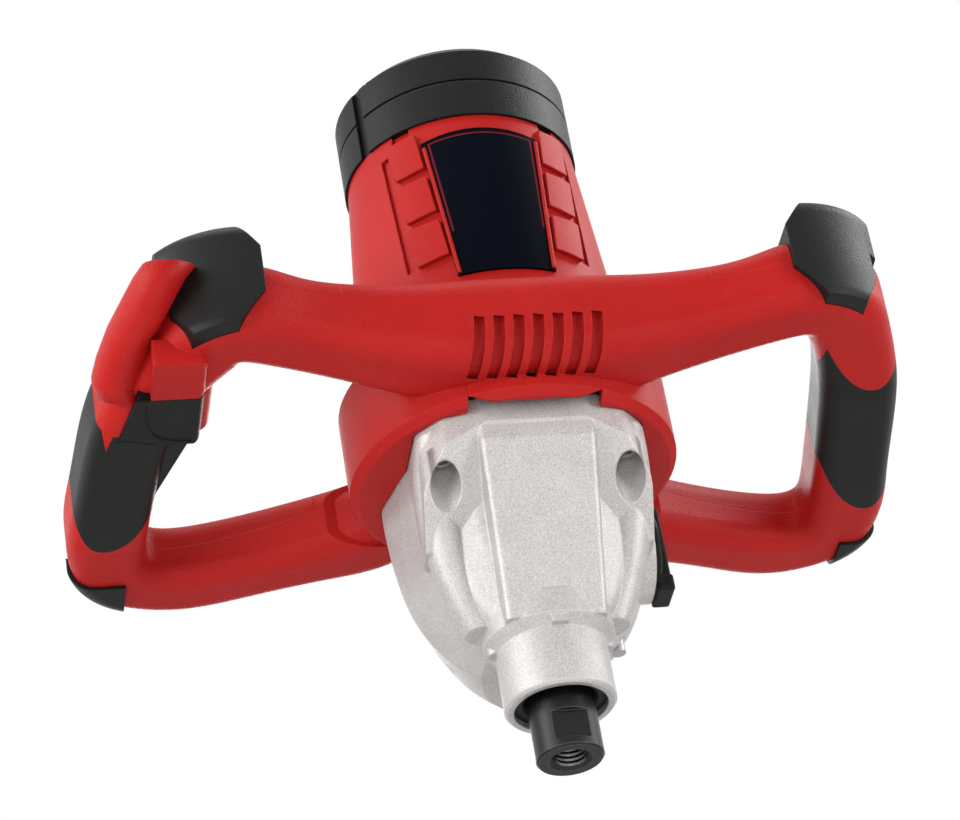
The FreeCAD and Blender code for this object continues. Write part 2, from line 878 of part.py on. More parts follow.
def gearbox_screws():
    return Part.makeCompound([
        screw(gearbox_screw_head_r, gearbox_screw_head, gearbox_screw_r, gearbox_screw_length, x, y,
              gearbox_screw_seat, 1)
        for x, y in gearbox_screw_places()])


# Gear selector


def selector_shaft():
    pin_y = selector_y - math.sqrt(eccentric ** 2 - (shift_travel / 2) ** 2)
    pin = rod_x(eccentric_pin_r, fork_rail_x - fork_block_thick / 2, crank_x, pin_y, sleeve_mid_z)
    crank = rod_x(crank_r, crank_x, crank_face, selector_y, selector_z)
    shaft_end = selector_boss_face + pass_gap + knob_disc_thick
    shaft = rod_x(selector_shaft_r, crank_face, shaft_end, selector_y, selector_z)
    return fused([crank, shaft, pin])


def selector_knob():
    face = selector_boss_face + pass_gap
    disc = rod_x(knob_disc_r, face, face + knob_disc_thick, selector_y, selector_z)
    disc = disc.makeChamfer(knob_edge, [disc.Edges[0]])
    half = knob_wing_height / 2
    reach = face + knob_disc_thick + knob_wing_reach
    wing = block(face, reach, selector_y - knob_wing_thick / 2, selector_y + knob_wing_thick / 2,
                 selector_z - half, selector_z + half)
    foot = block(face, reach, selector_y - knob_foot_thick / 2, selector_y + knob_foot_thick / 2,
                 selector_z - half, selector_z - half + knob_foot_height)
    grip = fused([wing, foot])
    grip = grip.makeFillet(knob_edge, grip.Edges)
    bore = rod_x(selector_shaft_r, face - cut_over, face + knob_disc_thick, selector_y, selector_z)
    return fused([disc, grip]).cut(bore)


def shift_fork():
    low = sleeve_mid_z - fork_thick / 2
    top = sleeve_mid_z + fork_thick / 2
    jaw = ring(fork_r, sleeve_r - groove_depth + pass_gap, low, top)
    jaw = jaw.common(block(0, fork_r, -fork_r, fork_r, low, top))
    arm = block(sleeve_r - groove_depth + pass_gap, fork_rail_x, fork_rail_y - fork_arm_width,
                fork_rail_y, low, top)
    hub = cyl(fork_hub_r, sleeve_mid_z - fork_hub_height / 2, sleeve_mid_z + fork_hub_height / 2,
              fork_rail_x, fork_rail_y)
    pin_y = selector_y - eccentric
    half = fork_block / 2
    lug = block(fork_rail_x - fork_block_thick / 2, fork_rail_x + fork_block_thick / 2,
                pin_y - half, fork_rail_y, sleeve_mid_z - half, sleeve_mid_z + half)
    slot_half = eccentric_pin_r + seat_gap
    slot = block(fork_rail_x - fork_block_thick, fork_rail_x + fork_block_thick, pin_y - fork_block,
                 pin_y + slot_half + pass_gap, sleeve_mid_z - slot_half, sleeve_mid_z + slot_half)
    body = fused([jaw, arm, hub, lug]).cut(slot)
    body = body.cut(cyl(fork_rail_r + run_gap, gearbox_low, gearbox_top, fork_rail_x, fork_rail_y))
    room_r = sleeve_r + pass_gap
    return body.cut(cyl(room_r, gearbox_low, low)).cut(cyl(room_r, top, gearbox_top))


# Motor


def armature_shaft():
    journal_low = cover_roof_z - bearing_height + pass_gap
    teeth = gear(pinion_teeth, first_module, first_stage_z - pinion_overhang, journal_low, motor_y, 90)
    shaft = cyl(armature_r, journal_low, top_bearing_low + top_bearing_height, 0, motor_y)
    return fused([shaft, teeth])


def armature_core():
    top = core_low + core_height
    core = ring(core_r, armature_r, core_low, top, 0, motor_y)
    slot = block(core_r - core_slot_depth, core_r + cut_over, motor_y - core_slot_width / 2,
                 motor_y + core_slot_width / 2, core_low - cut_over, top + cut_over)
    return core.cut([spun(slot, 360 * i / core_slots, 0, motor_y) for i in range(core_slots)])


def coil_head(low, top):
    bevel = winding_height / 4
    return turned([(armature_r, low), (winding_r - bevel, low), (winding_r, low + bevel),
                   (winding_r, top - bevel), (winding_r - bevel, top), (armature_r, top)], 0, motor_y)


def armature_windings():
    top = core_low + core_height
    low_head = coil_head(core_low - winding_height, core_low)
    return Part.makeCompound([low_head, coil_head(top, top + winding_height)])


def commutator():
    top = commutator_low + commutator_height
    drum = ring(commutator_r, armature_r, commutator_low, top, 0, motor_y)
    slot = block(commutator_r - commutator_slot_depth, commutator_r + cut_over, motor_y - commutator_slot / 2,
                 motor_y + commutator_slot / 2, commutator_low - cut_over, top + cut_over)
    return drum.cut([spun(slot, 360 * i / commutator_bars, 0, motor_y) for i in range(commutator_bars)])


def cooling_fan():
    disc = ring(fan_r, armature_r, fan_low, fan_low + fan_disc, 0, motor_y)
    hub = ring(fan_hub_r, armature_r, fan_low, fan_low + fan_disc + fan_blade_height, 0, motor_y)
    blade = block(fan_hub_r - fan_disc, fan_r - fan_disc, motor_y - fan_blade_thick / 2,
                  motor_y + fan_blade_thick / 2, fan_low, fan_low + fan_disc + fan_blade_height)
    return fused([disc, hub] + [spun(blade, 360 * i / fan_blades, 0, motor_y) for i in range(fan_blades)])


def armature_bearings():
    inner = armature_r + run_gap
    low_z = cover_roof_z - bearing_height + pass_gap
    low = sealed_bearing(armature_bearing_r, inner, low_z, bearing_height, motor_y)
    high = sealed_bearing(top_bearing_r, inner, top_bearing_low, top_bearing_height, motor_y)
    return Part.makeCompound([low, high])


def bearing_cushion():
    """Rubber ring round the upper armature bearing."""
    top = top_bearing_low + top_bearing_height
    return ring(spider_ring_r, top_bearing_r, top_bearing_low, top, 0, motor_y)


def coil_sector(outer_r, inner_r, z0, z1, arc, middle):
    solid = Part.makeCylinder(outer_r, z1 - z0, at(0, motor_y, z0), UP, arc)
    solid = solid.cut(Part.makeCylinder(inner_r, z1 - z0, at(0, motor_y, z0), UP, arc))
    return spun(solid, middle - arc / 2, 0, motor_y)


def field_coil(middle):
    top = core_low + core_height
    whole = coil_sector(coil_outer_r, coil_inner_r, core_low - coil_turn, top + coil_turn, coil_arc, middle)
    window = coil_sector(coil_outer_r + cut_over, coil_inner_r - cut_over, core_low, top, coil_window, middle)
    return whole.cut(window)


def field_coils():
    return Part.makeCompound([field_coil(0), field_coil(180)])


def stator_core():
    core = ring(stator_r, core_r + air_gap, core_low, core_low + core_height, 0, motor_y)
    return core.cut([field_coil(0), field_coil(180)])


def brush_boxes(wall, start, end):
    half_y = brush_width / 2 + wall
    half_z = brush_height / 2 + wall
    middle = commutator_low + commutator_height / 2
    one = block(start, end, motor_y - half_y, motor_y + half_y, middle - half_z, middle + half_z)
    return [one, mirrored(one)]


def carbon_brushes():
    start = commutator_r + brush_gap
    return Part.makeCompound(brush_boxes(0, start, start + brush_length))


def brush_holders():
    start = commutator_r + brush_gap + brush_tube_wall
    outer = Part.makeCompound(brush_boxes(brush_tube_wall, start, brush_tube_end))
    return outer.cut(Part.makeCompound(brush_boxes(0, start - cut_over, brush_tube_end - brush_tube_wall)))


def brush_ring():
    """Moulded ring that carries the brush holders in the barrel."""
    low = commutator_low
    top = commutator_low + commutator_height
    outer_r = barrel_inner_r(commutator_low + commutator_height)
    body = ring(outer_r, brush_tube_end - brush_length, low, top, 0, motor_y)
    return body.cut(Part.makeCompound(brush_boxes(brush_tube_wall, 0, brush_tube_end)))


# Motor barrel, label panel and cap


def barrel_r(z):
    share = (z - barrel_low) / (barrel_top - barrel_low)
    return barrel_low_r + (barrel_top_r - barrel_low_r) * share


def barrel_inner_r(z):
    return barrel_r(z) - barrel_wall


def barrel_post_places():
    return [(barrel_post_place_r * math.cos(math.radians(45 + 90 * i)),
             motor_y + barrel_post_place_r * math.sin(math.radians(45 + 90 * i))) for i in range(4)]


def turned_about_motor(shape, degrees_from_front):
    return spun(shape, degrees_from_front, 0, motor_y)


def barrel_skin(depth, proud):
    """Layer of the barrel's cone from depth under its face to proud of it."""
    return turned([(barrel_low_r - depth, barrel_low), (barrel_low_r + proud, barrel_low),
                   (barrel_top_r + proud, barrel_top), (barrel_top_r - depth, barrel_top)], 0, motor_y)


def barrel_strip(width, z0, z1, angle, lean):
    """Upright strip in front of the barrel, whose foot leans towards the panel, turned round the motor."""
    strip = block(-width / 2, width / 2, motor_y - skirt_r, motor_y, z0, z1)
    strip.rotate(at(0, motor_y, barrel_top), AHEAD, math.copysign(lean, angle))
    return turned_about_motor(strip, angle)


def louvres():
    """Shingled blocks beside the panel, each standing proud at its foot."""
    shapes = []
    for i in range(louvre_count):
        low = louvre_low + i * louvre_step
        step = turned([(barrel_r(low) - barrel_wall / 2, low), (barrel_r(low) + louvre_proud, low),
                       (barrel_r(low) + louvre_proud / 2, low + louvre_height),
                       (barrel_r(low) - barrel_wall, low + louvre_height)], 0, motor_y)
        for angle in (-louvre_angle, louvre_angle):
            shapes.append(step.common(barrel_strip(louvre_width, low, low + louvre_height, angle, band_lean)))
    return shapes


def barrel_recesses():
    cuts = []
    skin = barrel_skin(band_depth, louvre_proud)
    for side in (-1, 1):
        band = barrel_strip(band_width, louvre_low, barrel_top - notch_height, side * band_angle, band_lean)
        notch = barrel_strip(notch_width, barrel_top - notch_height, barrel_top, side * louvre_angle, 0)
        cuts += [skin.common(band), skin.common(notch)]
    return cuts


def panel_outline(margin):
    low = panel_low - margin
    top = panel_top + margin
    left_low = at(-panel_low_half - margin, 0, low)
    right_low = at(panel_low_half + margin, 0, low)
    left_top = at(-panel_top_half - margin, 0, top)
    right_top = at(panel_top_half + margin, 0, top)
    arch = Part.Arc(right_top, at(0, 0, top + panel_arch), left_top).toShape()
    edges = [Part.makeLine(left_low, right_low), Part.makeLine(right_low, right_top), arch,
             Part.makeLine(left_top, left_low)]
    face = Part.Face(Part.Wire(edges))
    face.translate(at(0, motor_y - skirt_r, 0))
    return face.extrude(AHEAD * skirt_r)


def label_panel():
    outer = panel_glue + panel_thick
    shell = turned([(barrel_low_r + panel_glue, barrel_low), (barrel_low_r + outer, barrel_low),
                    (barrel_top_r + outer, barrel_top), (barrel_top_r + panel_glue, barrel_top)], 0, motor_y)
    return shell.common(panel_outline(0))


def barrel_spider():
    low = top_bearing_low
    top = low + top_bearing_height
    ring_part = ring(spider_ring_r + barrel_wall, spider_ring_r, low, top, 0, motor_y)
    arm_end = barrel_inner_r(barrel_top) + barrel_wall / 2
    arm_start = spider_ring_r + barrel_wall / 2
    arm = block(arm_start, arm_end, motor_y - spider_arm / 2, motor_y + spider_arm / 2, low, top)
    return [ring_part] + [spun(arm, 45 + 90 * i, 0, motor_y) for i in range(4)]


def motor_housing():
    inner_low = barrel_low_r - barrel_wall
    inner_top = barrel_top_r - barrel_wall
    tube = turned([(inner_low, barrel_low), (barrel_low_r, barrel_low), (barrel_top_r, barrel_top),
                   (inner_top, barrel_top)], 0, motor_y)
    shapes = [tube] + [shape.cut(panel_outline(seat_gap)) for shape in louvres()] + barrel_spider()
    hold = turned([(0, barrel_low), (barrel_low_r - barrel_wall / 2, barrel_low),
                   (barrel_top_r - barrel_wall / 2, barrel_top), (0, barrel_top)], 0, motor_y)
    rib = block(stator_r, skirt_r, motor_y - stator_rib_width / 2, motor_y + stator_rib_width / 2,
                core_low, core_low + core_height)
    shapes += [spun(rib, 45 + 360 * i / stator_ribs, 0, motor_y).common(hold) for i in range(stator_ribs)]
    post_top = barrel_low + barrel_post_height
    shapes += [cyl(barrel_post_r, barrel_low, post_top, x, y) for x, y in barrel_post_places()]
    for x, y in cap_screw_places():
        shapes.append(cyl(cap_post_r, barrel_top - cap_post_depth, barrel_top, x, y).common(hold))
    body = joined(shapes)
    cuts = barrel_recesses() + [stator_space(), brush_ring()]
    cuts += [cyl(barrel_screw_r, barrel_low - cut_over, post_top - barrel_wall, x, y)
             for x, y in barrel_post_places()]
    cuts += [cyl(cap_screw_r, barrel_top - cap_screw_grip, barrel_top + cut_over, x, y)
             for x, y in cap_screw_places()]
    for shape in cuts:
        body = body.cut(shape)
    return body


def stator_space():
    return cyl(stator_r, core_low - winding_height, core_low + core_height + winding_height, 0, motor_y)


def barrel_screws():
    z = barrel_low - skirt_collar
    return Part.makeCompound([
        screw(barrel_screw_head_r, barrel_screw_head, barrel_screw_r, barrel_screw_length, x, y, z, 1)
        for x, y in barrel_post_places()])


def cap_screw_places():
    return [(cap_screw_place_r * math.cos(math.radians(90 + 360 * i / cap_screws)),
             motor_y + cap_screw_place_r * math.sin(math.radians(90 + 360 * i / cap_screws)))
            for i in range(cap_screws)]


def motor_cap():
    """Lower tier of the cap: a ring that sits on the barrel."""
    top = barrel_top + cap_tier - cap_seam
    body = turned([(cap_r - cap_wall, barrel_top), (cap_r, barrel_top), (cap_r, top),
                   (cap_r - cap_wall, top)], 0, motor_y)
    posts = [cyl(cap_post_r, barrel_top, top, x, y) for x, y in cap_screw_places()]
    inner = cyl(cap_r - cap_wall / 2, barrel_top, top, 0, motor_y)
    body = fused([body] + [p.common(inner) for p in posts])
    cuts = [cap_slot()]
    cuts += [cyl(cap_screw_r, barrel_top - cut_over, top + cut_over, x, y) for x, y in cap_screw_places()]
    return body.cut(cuts)


def cap_slot():
    slot = block(-cap_slot_width / 2, cap_slot_width / 2, motor_y - cap_r - cut_over,
                 motor_y - cap_r + cap_slot_depth, barrel_top - cut_over, barrel_top + cap_height + cut_over)
    return turned_about_motor(slot, cap_slot_angle)


def cap_cover():
    """Upper tier of the cap, with the air inlet slots."""
    low = barrel_top + cap_tier - cap_seam
    lip = barrel_top + cap_tier
    top = barrel_top + cap_height
    body = turned([
        (0, low), (cap_r - cap_wall, low), (cap_r - cap_seam, low), (cap_r - cap_seam, lip), (cap_r, lip),
        (cap_r, top - cap_bevel), (cap_r - cap_bevel, top), (0, top)], 0, motor_y)
    inner_r = cap_r - cap_wall
    hollow = turned([(0, low - cut_over), (inner_r, low - cut_over), (inner_r, top - cap_bevel),
                     (cap_r - cap_bevel - cap_wall / 2, top - cap_wall), (0, top - cap_wall)], 0, motor_y)
    inner = cyl(cap_r - cap_wall / 2, low, top - cap_wall, 0, motor_y)
    posts = [cyl(cap_post_r, low, top - cap_wall, x, y).common(inner) for x, y in cap_screw_places()]
    vent = block(cap_vent_place_r - cap_vent_length / 2, cap_vent_place_r + cap_vent_length / 2,
                 motor_y - cap_vent_width / 2, motor_y + cap_vent_width / 2,
                 top - cap_wall - cut_over, top + cut_over)
    cuts = [spun(vent, 360 * i / cap_vents, 0, motor_y) for i in range(cap_vents)] + [cap_slot()]
    for x, y in cap_screw_places():
        cuts.append(cyl(cap_screw_r, low - cut_over, top + cut_over, x, y))
        cuts.append(cyl(cap_screw_head_r, top - cap_screw_head, top + cut_over, x, y))
    return fused([body.cut(hollow)] + posts).cut(cuts)


def cap_screw_set():
    top = barrel_top + cap_height - cap_screw_head
    length = cap_height - cap_screw_head + cap_screw_grip
    return Part.makeCompound([
        screw(cap_screw_head_r, cap_screw_head, cap_screw_r, length, x, y, top, -1)
        for x, y in cap_screw_places()])


# Frame with the handle loops


def loop_point(index):
    x_share, y_share, z_share, side_share, height_share, lean_share = loop_station_shares[abs(index)]
    side = -1 if index < 0 else 1
    return at(side * x_share * loop_half_span - lean_share * loop_lean, y_share * loop_depth - loop_front,
              loop_rear_z + z_share * loop_rise)


def loop_section(index, inset, lift, corner_share):
    """Rounded section across the loop at one station; negative stations lie on the left."""
    last = len(loop_station_shares) - 1
    before = loop_point(max(index - 1, -last))
    after = loop_point(min(index + 1, last))
    along = after - before
    along.normalize()
    across = UP.cross(along)
    across.normalize()
    rise = along.cross(across)
    shares = loop_station_shares[abs(index)]
    half_w = shares[3] * loop_half_thick - inset
    half_h = shares[4] * loop_half_thick - inset + lift / 2
    middle = loop_point(index) + rise * (lift / 2)
    corner = corner_share * min(half_w, half_h)
    flat_w = half_w - corner
    flat_h = half_h - corner
    bulge = corner * math.sqrt(0.5)

    def spot(u, v):
        return middle + across * u + rise * v

    edges = []
    for su, sv in ((1, 1), (-1, 1), (-1, -1), (1, -1)):
        start = (half_w, flat_h) if su * sv > 0 else (flat_w, half_h)
        end = (flat_w, half_h) if su * sv > 0 else (half_w, flat_h)
        peak = spot(su * (flat_w + bulge), sv * (flat_h + bulge))
        arc = Part.Arc(spot(su * start[0], sv * start[1]), peak, spot(su * end[0], sv * end[1]))
        edges.append(arc.toShape())
        if su * sv > 0:
            edges.append(Part.makeLine(spot(su * flat_w, sv * half_h), spot(-su * flat_w, sv * half_h)))
        else:
            edges.append(Part.makeLine(spot(su * half_w, sv * flat_h), spot(su * half_w, -sv * flat_h)))
    return Part.Wire(edges)


def loop_run(inset, first, last, lift=0, corner_share=loop_corner_share):
    """The loop's form between two stations."""
    sections = [loop_section(i, inset, lift, corner_share) for i in range(first, last + 1)]
    return Part.makeLoft(sections, True, False)


def loop_form(inset):
    end = len(loop_station_shares) - 1
    return loop_run(inset, -end, end)


def seam_half(above):
    """The half space above or below the seam plane of the loops."""
    slope = math.degrees(math.atan2(-loop_rise, loop_depth))
    slab = layer(0, far) if above else layer(-far, 0)
    slab.rotate(at(0, 0, 0), RIGHT, slope)
    slab.translate(at(0, -loop_front, loop_rear_z + loop_rise))
    return slab


def skirt_form(inset):
    low = skirt_low + inset
    r = skirt_r - inset
    neck = barrel_low_r - inset
    return turned([
        (0, low), (r - skirt_edge, low), (r, low + skirt_edge), (r, skirt_shoulder),
        (neck, barrel_low - skirt_edge), (neck, barrel_low), (0, barrel_low)], 0, motor_y)


def gearbox_hole():
    """Opening in the skirt's floor, which follows the top outline of the gearbox."""
    down = at(0, 0, skirt_low - gearbox_top - cut_over)
    case = Part.Face(gearbox_wire(gearbox_level_shares[-1], -pass_gap)).extrude(down)
    saddle = Part.Face(rounded_wire(saddle_outline(pass_gap), saddle_corner, gearbox_top)).extrude(down)
    exhaust = block(-exhaust_half, exhaust_half, -exhaust_front, 0, skirt_low - cut_over, exhaust_top)
    return [case, saddle, exhaust]


def bridge_vents():
    """Blind slots, which stop short of the shell's inside."""
    cuts = []
    middle = loop_point(0)
    ground = loop_form(vent_depth)
    half = vent_length / 2
    for i in range(vent_count):
        slot = block(-vent_width / 2, vent_width / 2, -vent_reach - loop_half_thick, 0, -half, half)
        slot.rotate(at(0, 0, 0), AHEAD, vent_slant)
        slot.rotate(at(0, 0, 0), RIGHT, vent_tilt)
        slot.translate(at((i - (vent_count - 1) / 2) * vent_step, middle.y, middle.z))
        cuts.append(slot.cut(ground))
    return cuts


def cover_screw_places():
    return [side * i for side in (-1, 1) for i in cover_screw_stations]


def station_column(index, r, z0, z1):
    middle = loop_point(index)
    return cyl(r, z0, z1, middle.x, middle.y)


def cover_posts():
    reach = loop_half_thick * 2
    inner = loop_form(loop_wall / 2)
    posts = []
    for i in cover_screw_places():
        z = loop_point(i).z
        posts.append(station_column(i, cover_post_r, z - reach, z + reach).common(inner))
    return posts


def frame_posts():
    shapes = []
    for x, y in gearbox_screw_places():
        shapes.append(cyl(frame_post_r, cover_dome_z, frame_post_top, x, y))
        away = math.hypot(x, y - motor_y)
        wall_r = skirt_r - skirt_wall / 2
        rib = block(away, wall_r, -frame_rib / 2, frame_rib / 2, cover_dome_z, frame_post_top)
        rib.rotate(at(0, 0, 0), UP, math.degrees(math.atan2(y - motor_y, x)))
        rib.translate(at(0, motor_y, 0))
        shapes.append(rib)
    return shapes


def collar_ring():
    """Inner flange at the top of the frame that carries the motor barrel."""
    low = barrel_low - skirt_collar
    return ring(barrel_low_r - skirt_wall / 2, fan_r + pass_gap - skirt_wall, low, barrel_low, 0, motor_y)


def frame_cuts():
    cuts = []
    screw_end = gearbox_screw_seat + gearbox_screw_length
    for x, y in gearbox_screw_places():
        cuts.append(cyl(gearbox_screw_r, cover_dome_z - cut_over, screw_end, x, y))
    for x, y in barrel_post_places():
        cuts.append(cyl(barrel_screw_r, barrel_low - skirt_collar - cut_over, barrel_low + cut_over, x, y))
    return cuts


def cover_cuts():
    """Screw holes, trigger slot, lock button hole and cable inlet hole, cut from both shells."""
    cuts = []
    for i in cover_screw_places():
        z = cover_head_z(i)
        cuts.append(station_column(i, cover_screw_r, z - cover_screw_length, z + cover_screw_head))
        cuts.append(station_column(i, cover_screw_head_r, z, z + loop_half_thick))
    cuts.append(trigger_form(pass_gap, trigger_press + pass_gap))
    cuts.append(lock_form(seat_gap))
    cuts.append(inlet_form(0, 0))
    return cuts


def cover_head_z(index):
    shares = loop_station_shares[abs(index)]
    return loop_point(index).z + shares[4] * loop_half_thick - cover_screw_sink


def cover_screw_set():
    return Part.makeCompound([
        screw(cover_screw_head_r, cover_screw_head, cover_screw_r, cover_screw_length, loop_point(i).x,
              loop_point(i).y, cover_head_z(i), -1)
        for i in cover_screw_places()])


def plan_zone(points):
    return prism(points, 0, barrel_top)


def grip_band():
    """Rubber sleeve of both grips, cut straight across at both ends."""
    zone = plan_zone([(-far, grip_front), (far, grip_front), (far, grip_rear), (-far, grip_rear)])
    return loop_outside.cut(loop_form(grip_thick)).common(zone)


def grip_right():
    return grip_band().common(block(bumper_inner, far, -far, far, 0, far))


def tongue_zone():
    """Tongue of the lower shell that runs back into the rubber on the switch side."""
    middle = loop_point(-tongue_station).x
    root = grip_front - tongue_forward
    tongue = plan_zone([(middle - tongue_inner, root), (middle - tongue_tip, grip_front + tongue_length),
                        (middle - tongue_outer, root)])
    return tongue.common(seam_half(False))


def grip_left():
    band = grip_band().common(block(-far, -bumper_inner, -far, far, 0, far)).cut(tongue_zone())
    whole = band.fuse(grip_swell())
    return whole.cut([trigger_form(pass_gap, trigger_press + pass_gap)])


def bumper_zone():
    """Shield over the front of the corner, and the part that wraps its outer side above the seam."""
    outline = [(bumper_inner + bumper_shoulder, bumper_top), (bumper_inner, bumper_shoulder_z),
               (bumper_inner, bumper_kink_z), (bumper_tip_inner, bumper_tip_z),
               (bumper_tip_outer, bumper_tip_z), (bumper_outer, bumper_outer_z), (bumper_outer, bumper_top)]
    wire = Part.makePolygon([at(x, -far, z) for x, z in outline + outline[:1]])
    shield = Part.Face(wire).extrude(at(0, bumper_shield_back + far, 0))
    front = block(bumper_inner + bumper_shoulder, bumper_wrap_inner, -far, bumper_shield_back, 0, bumper_top)
    wrap = block(bumper_wrap_inner, far, -far, bumper_back, 0, bumper_top)
    above = seam_half(True)
    above.translate(UP * bumper_wrap_lift)
    return shield.fuse(front.fuse(wrap).common(above))


def bumper_form(first, last):
    return loop_run(-bumper_proud, first, last, bumper_lift, bumper_corner_share)


def bumper_right():
    form = bumper_form(bumper_first_station, bumper_last_station)
    return form.common(bumper_zone()).cut(loop_outside)


def bumper_left():
    form = bumper_form(-bumper_last_station, -bumper_first_station)
    return form.common(mirrored(bumper_zone())).cut(loop_outside)


def foot_zone():
    corner = plan_zone([(foot_inner, foot_front), (far, foot_front), (far, far), (foot_inner, far)])
    return corner.common(seam_half(False))


def foot_right():
    form = loop_run(-foot_proud, foot_first_station, foot_last_station)
    return form.common(foot_zone()).cut(loop_outside)


def foot_left():
    form = loop_run(-foot_proud, -foot_last_station, -foot_first_station)
    return form.common(mirrored(foot_zone())).cut(loop_outside)


def switch_hood():
    """Solid block of the lower shell that shields the trigger from below."""
    outer = -loop_half_span + loop_half_thick / 2
    body = block(outer, -hood_inner, hood_front, hood_rear, hood_low, hood_top)
    return body.makeFillet(hood_edge, [e for e in body.Edges if e.BoundBox.XMin > -hood_inner - run_gap])


def guard_block():
    """Form behind the hood, which goes on shielding the trigger from below."""
    front = hood_rear + seat_gap
    outline = [(-guard_outer, front), (-hood_inner, front), (-hood_inner, guard_rear),
               (-guard_outer - guard_flare, guard_rear)]
    body = prism(outline, hood_low, hood_top)
    inner = [e for e in body.Edges if e.BoundBox.XMin > -hood_inner - run_gap]
    low = [e for e in inner if e.BoundBox.ZMax < hood_low + run_gap or e.BoundBox.YMin > guard_rear - run_gap]
    return body.makeFillet(hood_edge, low)


def trigger_guard():
    return guard_block().cut(loop_outside)


def grip_swell():
    """Rubber swelling that runs from the guard back to the grip."""
    rear = swell_rear
    outline = [(-loop_half_span, guard_rear + seat_gap), (-hood_inner - hood_edge, guard_rear + seat_gap),
               (-swell_inner, rear), (-loop_half_span, rear)]
    return prism(outline, hood_low + hood_edge, hood_top).cut(loop_form(grip_thick))


def trigger_back():
    return loop_point(-switch_station).x + loop_half_thick + trigger_reach - trigger_depth


def trigger_form(gap, press):
    middle_z = loop_point(-switch_station).z + trigger_rise
    half = trigger_length / 2 + gap
    tall = trigger_height / 2 + gap
    back = trigger_back()
    return block(back - press, back + trigger_depth + gap, trigger_y - half, trigger_y + half,
                 middle_z - tall, middle_z + tall)


def trigger():
    body = trigger_form(0, 0)
    nose = [e for e in body.Edges if e.BoundBox.XMin > body.BoundBox.XMax - run_gap]
    return body.makeFillet(trigger_nose, nose)


def switch_body():
    middle = loop_point(-switch_station)
    back = trigger_back() - trigger_press - seat_gap
    return block(back - switch_width, back, trigger_y - switch_length / 2, trigger_y + switch_length / 2,
                 middle.z + trigger_rise - switch_height / 2, middle.z + trigger_rise + switch_height / 2)


def lock_form(gap):
    near = loop_point(-lock_station)
    middle = near + (loop_point(-lock_station - 1) - near) * lock_place_share
    top = middle.z + loop_station_shares[lock_station][4] * loop_half_thick + lock_proud
    return cyl(lock_r + gap, top - lock_stem, top, middle.x, middle.y)


def lock_button():
    body = lock_form(0)
    rim = [e for e in body.Edges if e.BoundBox.ZMin > body.BoundBox.ZMax - run_gap]
    return body.makeFillet(lock_proud / 2, rim)


def inlet_form(bore_r, extra):
    middle = loop_point(-inlet_station)
    share = loop_station_shares[inlet_station][3]
    start = middle.y
    end = middle.y + share * loop_half_thick + inlet_proud
    r = inlet_r if bore_r == 0 else bore_r
    return Part.makeCylinder(r, end - start + extra, at(middle.x, start, middle.z + inlet_lift), AHEAD)


def cable_inlet():
    body = inlet_form(0, 0)
    rim = [e for e in body.Edges if e.BoundBox.YMin > body.BoundBox.YMax - run_gap]
    return body.makeChamfer(inlet_bore_r / 3, rim).cut(inlet_form(inlet_bore_r, cut_over))


def frame_shells():
    """The lower frame and the two handle covers, cut from one hollow form."""
    outside = fused([loop_outside, skirt_form(0), switch_hood()])
    skirt_space = skirt_form(skirt_wall)
    inside = loop_form(loop_wall)
    throat = cyl(barrel_low_r - skirt_wall, skirt_shoulder, barrel_low + cut_over, 0, motor_y)
    hollow = outside.cut([inside, skirt_space, throat])
    hollow = fused([hollow] + cover_posts() + frame_posts() + [collar_ring()])
    hollow = hollow.cut([grip_band().cut(tongue_zone())])
    hollow = hollow.cut(gearbox_hole() + bridge_vents() + frame_cuts() + cover_cuts())
    above = seam_half(True)
    right = above.common(block(cover_start, far, -far, far, 0, far))
    left = above.common(block(-far, -cover_start, -far, far, 0, far))
    return hollow.cut([right, left]), hollow.common(left), hollow.common(right)


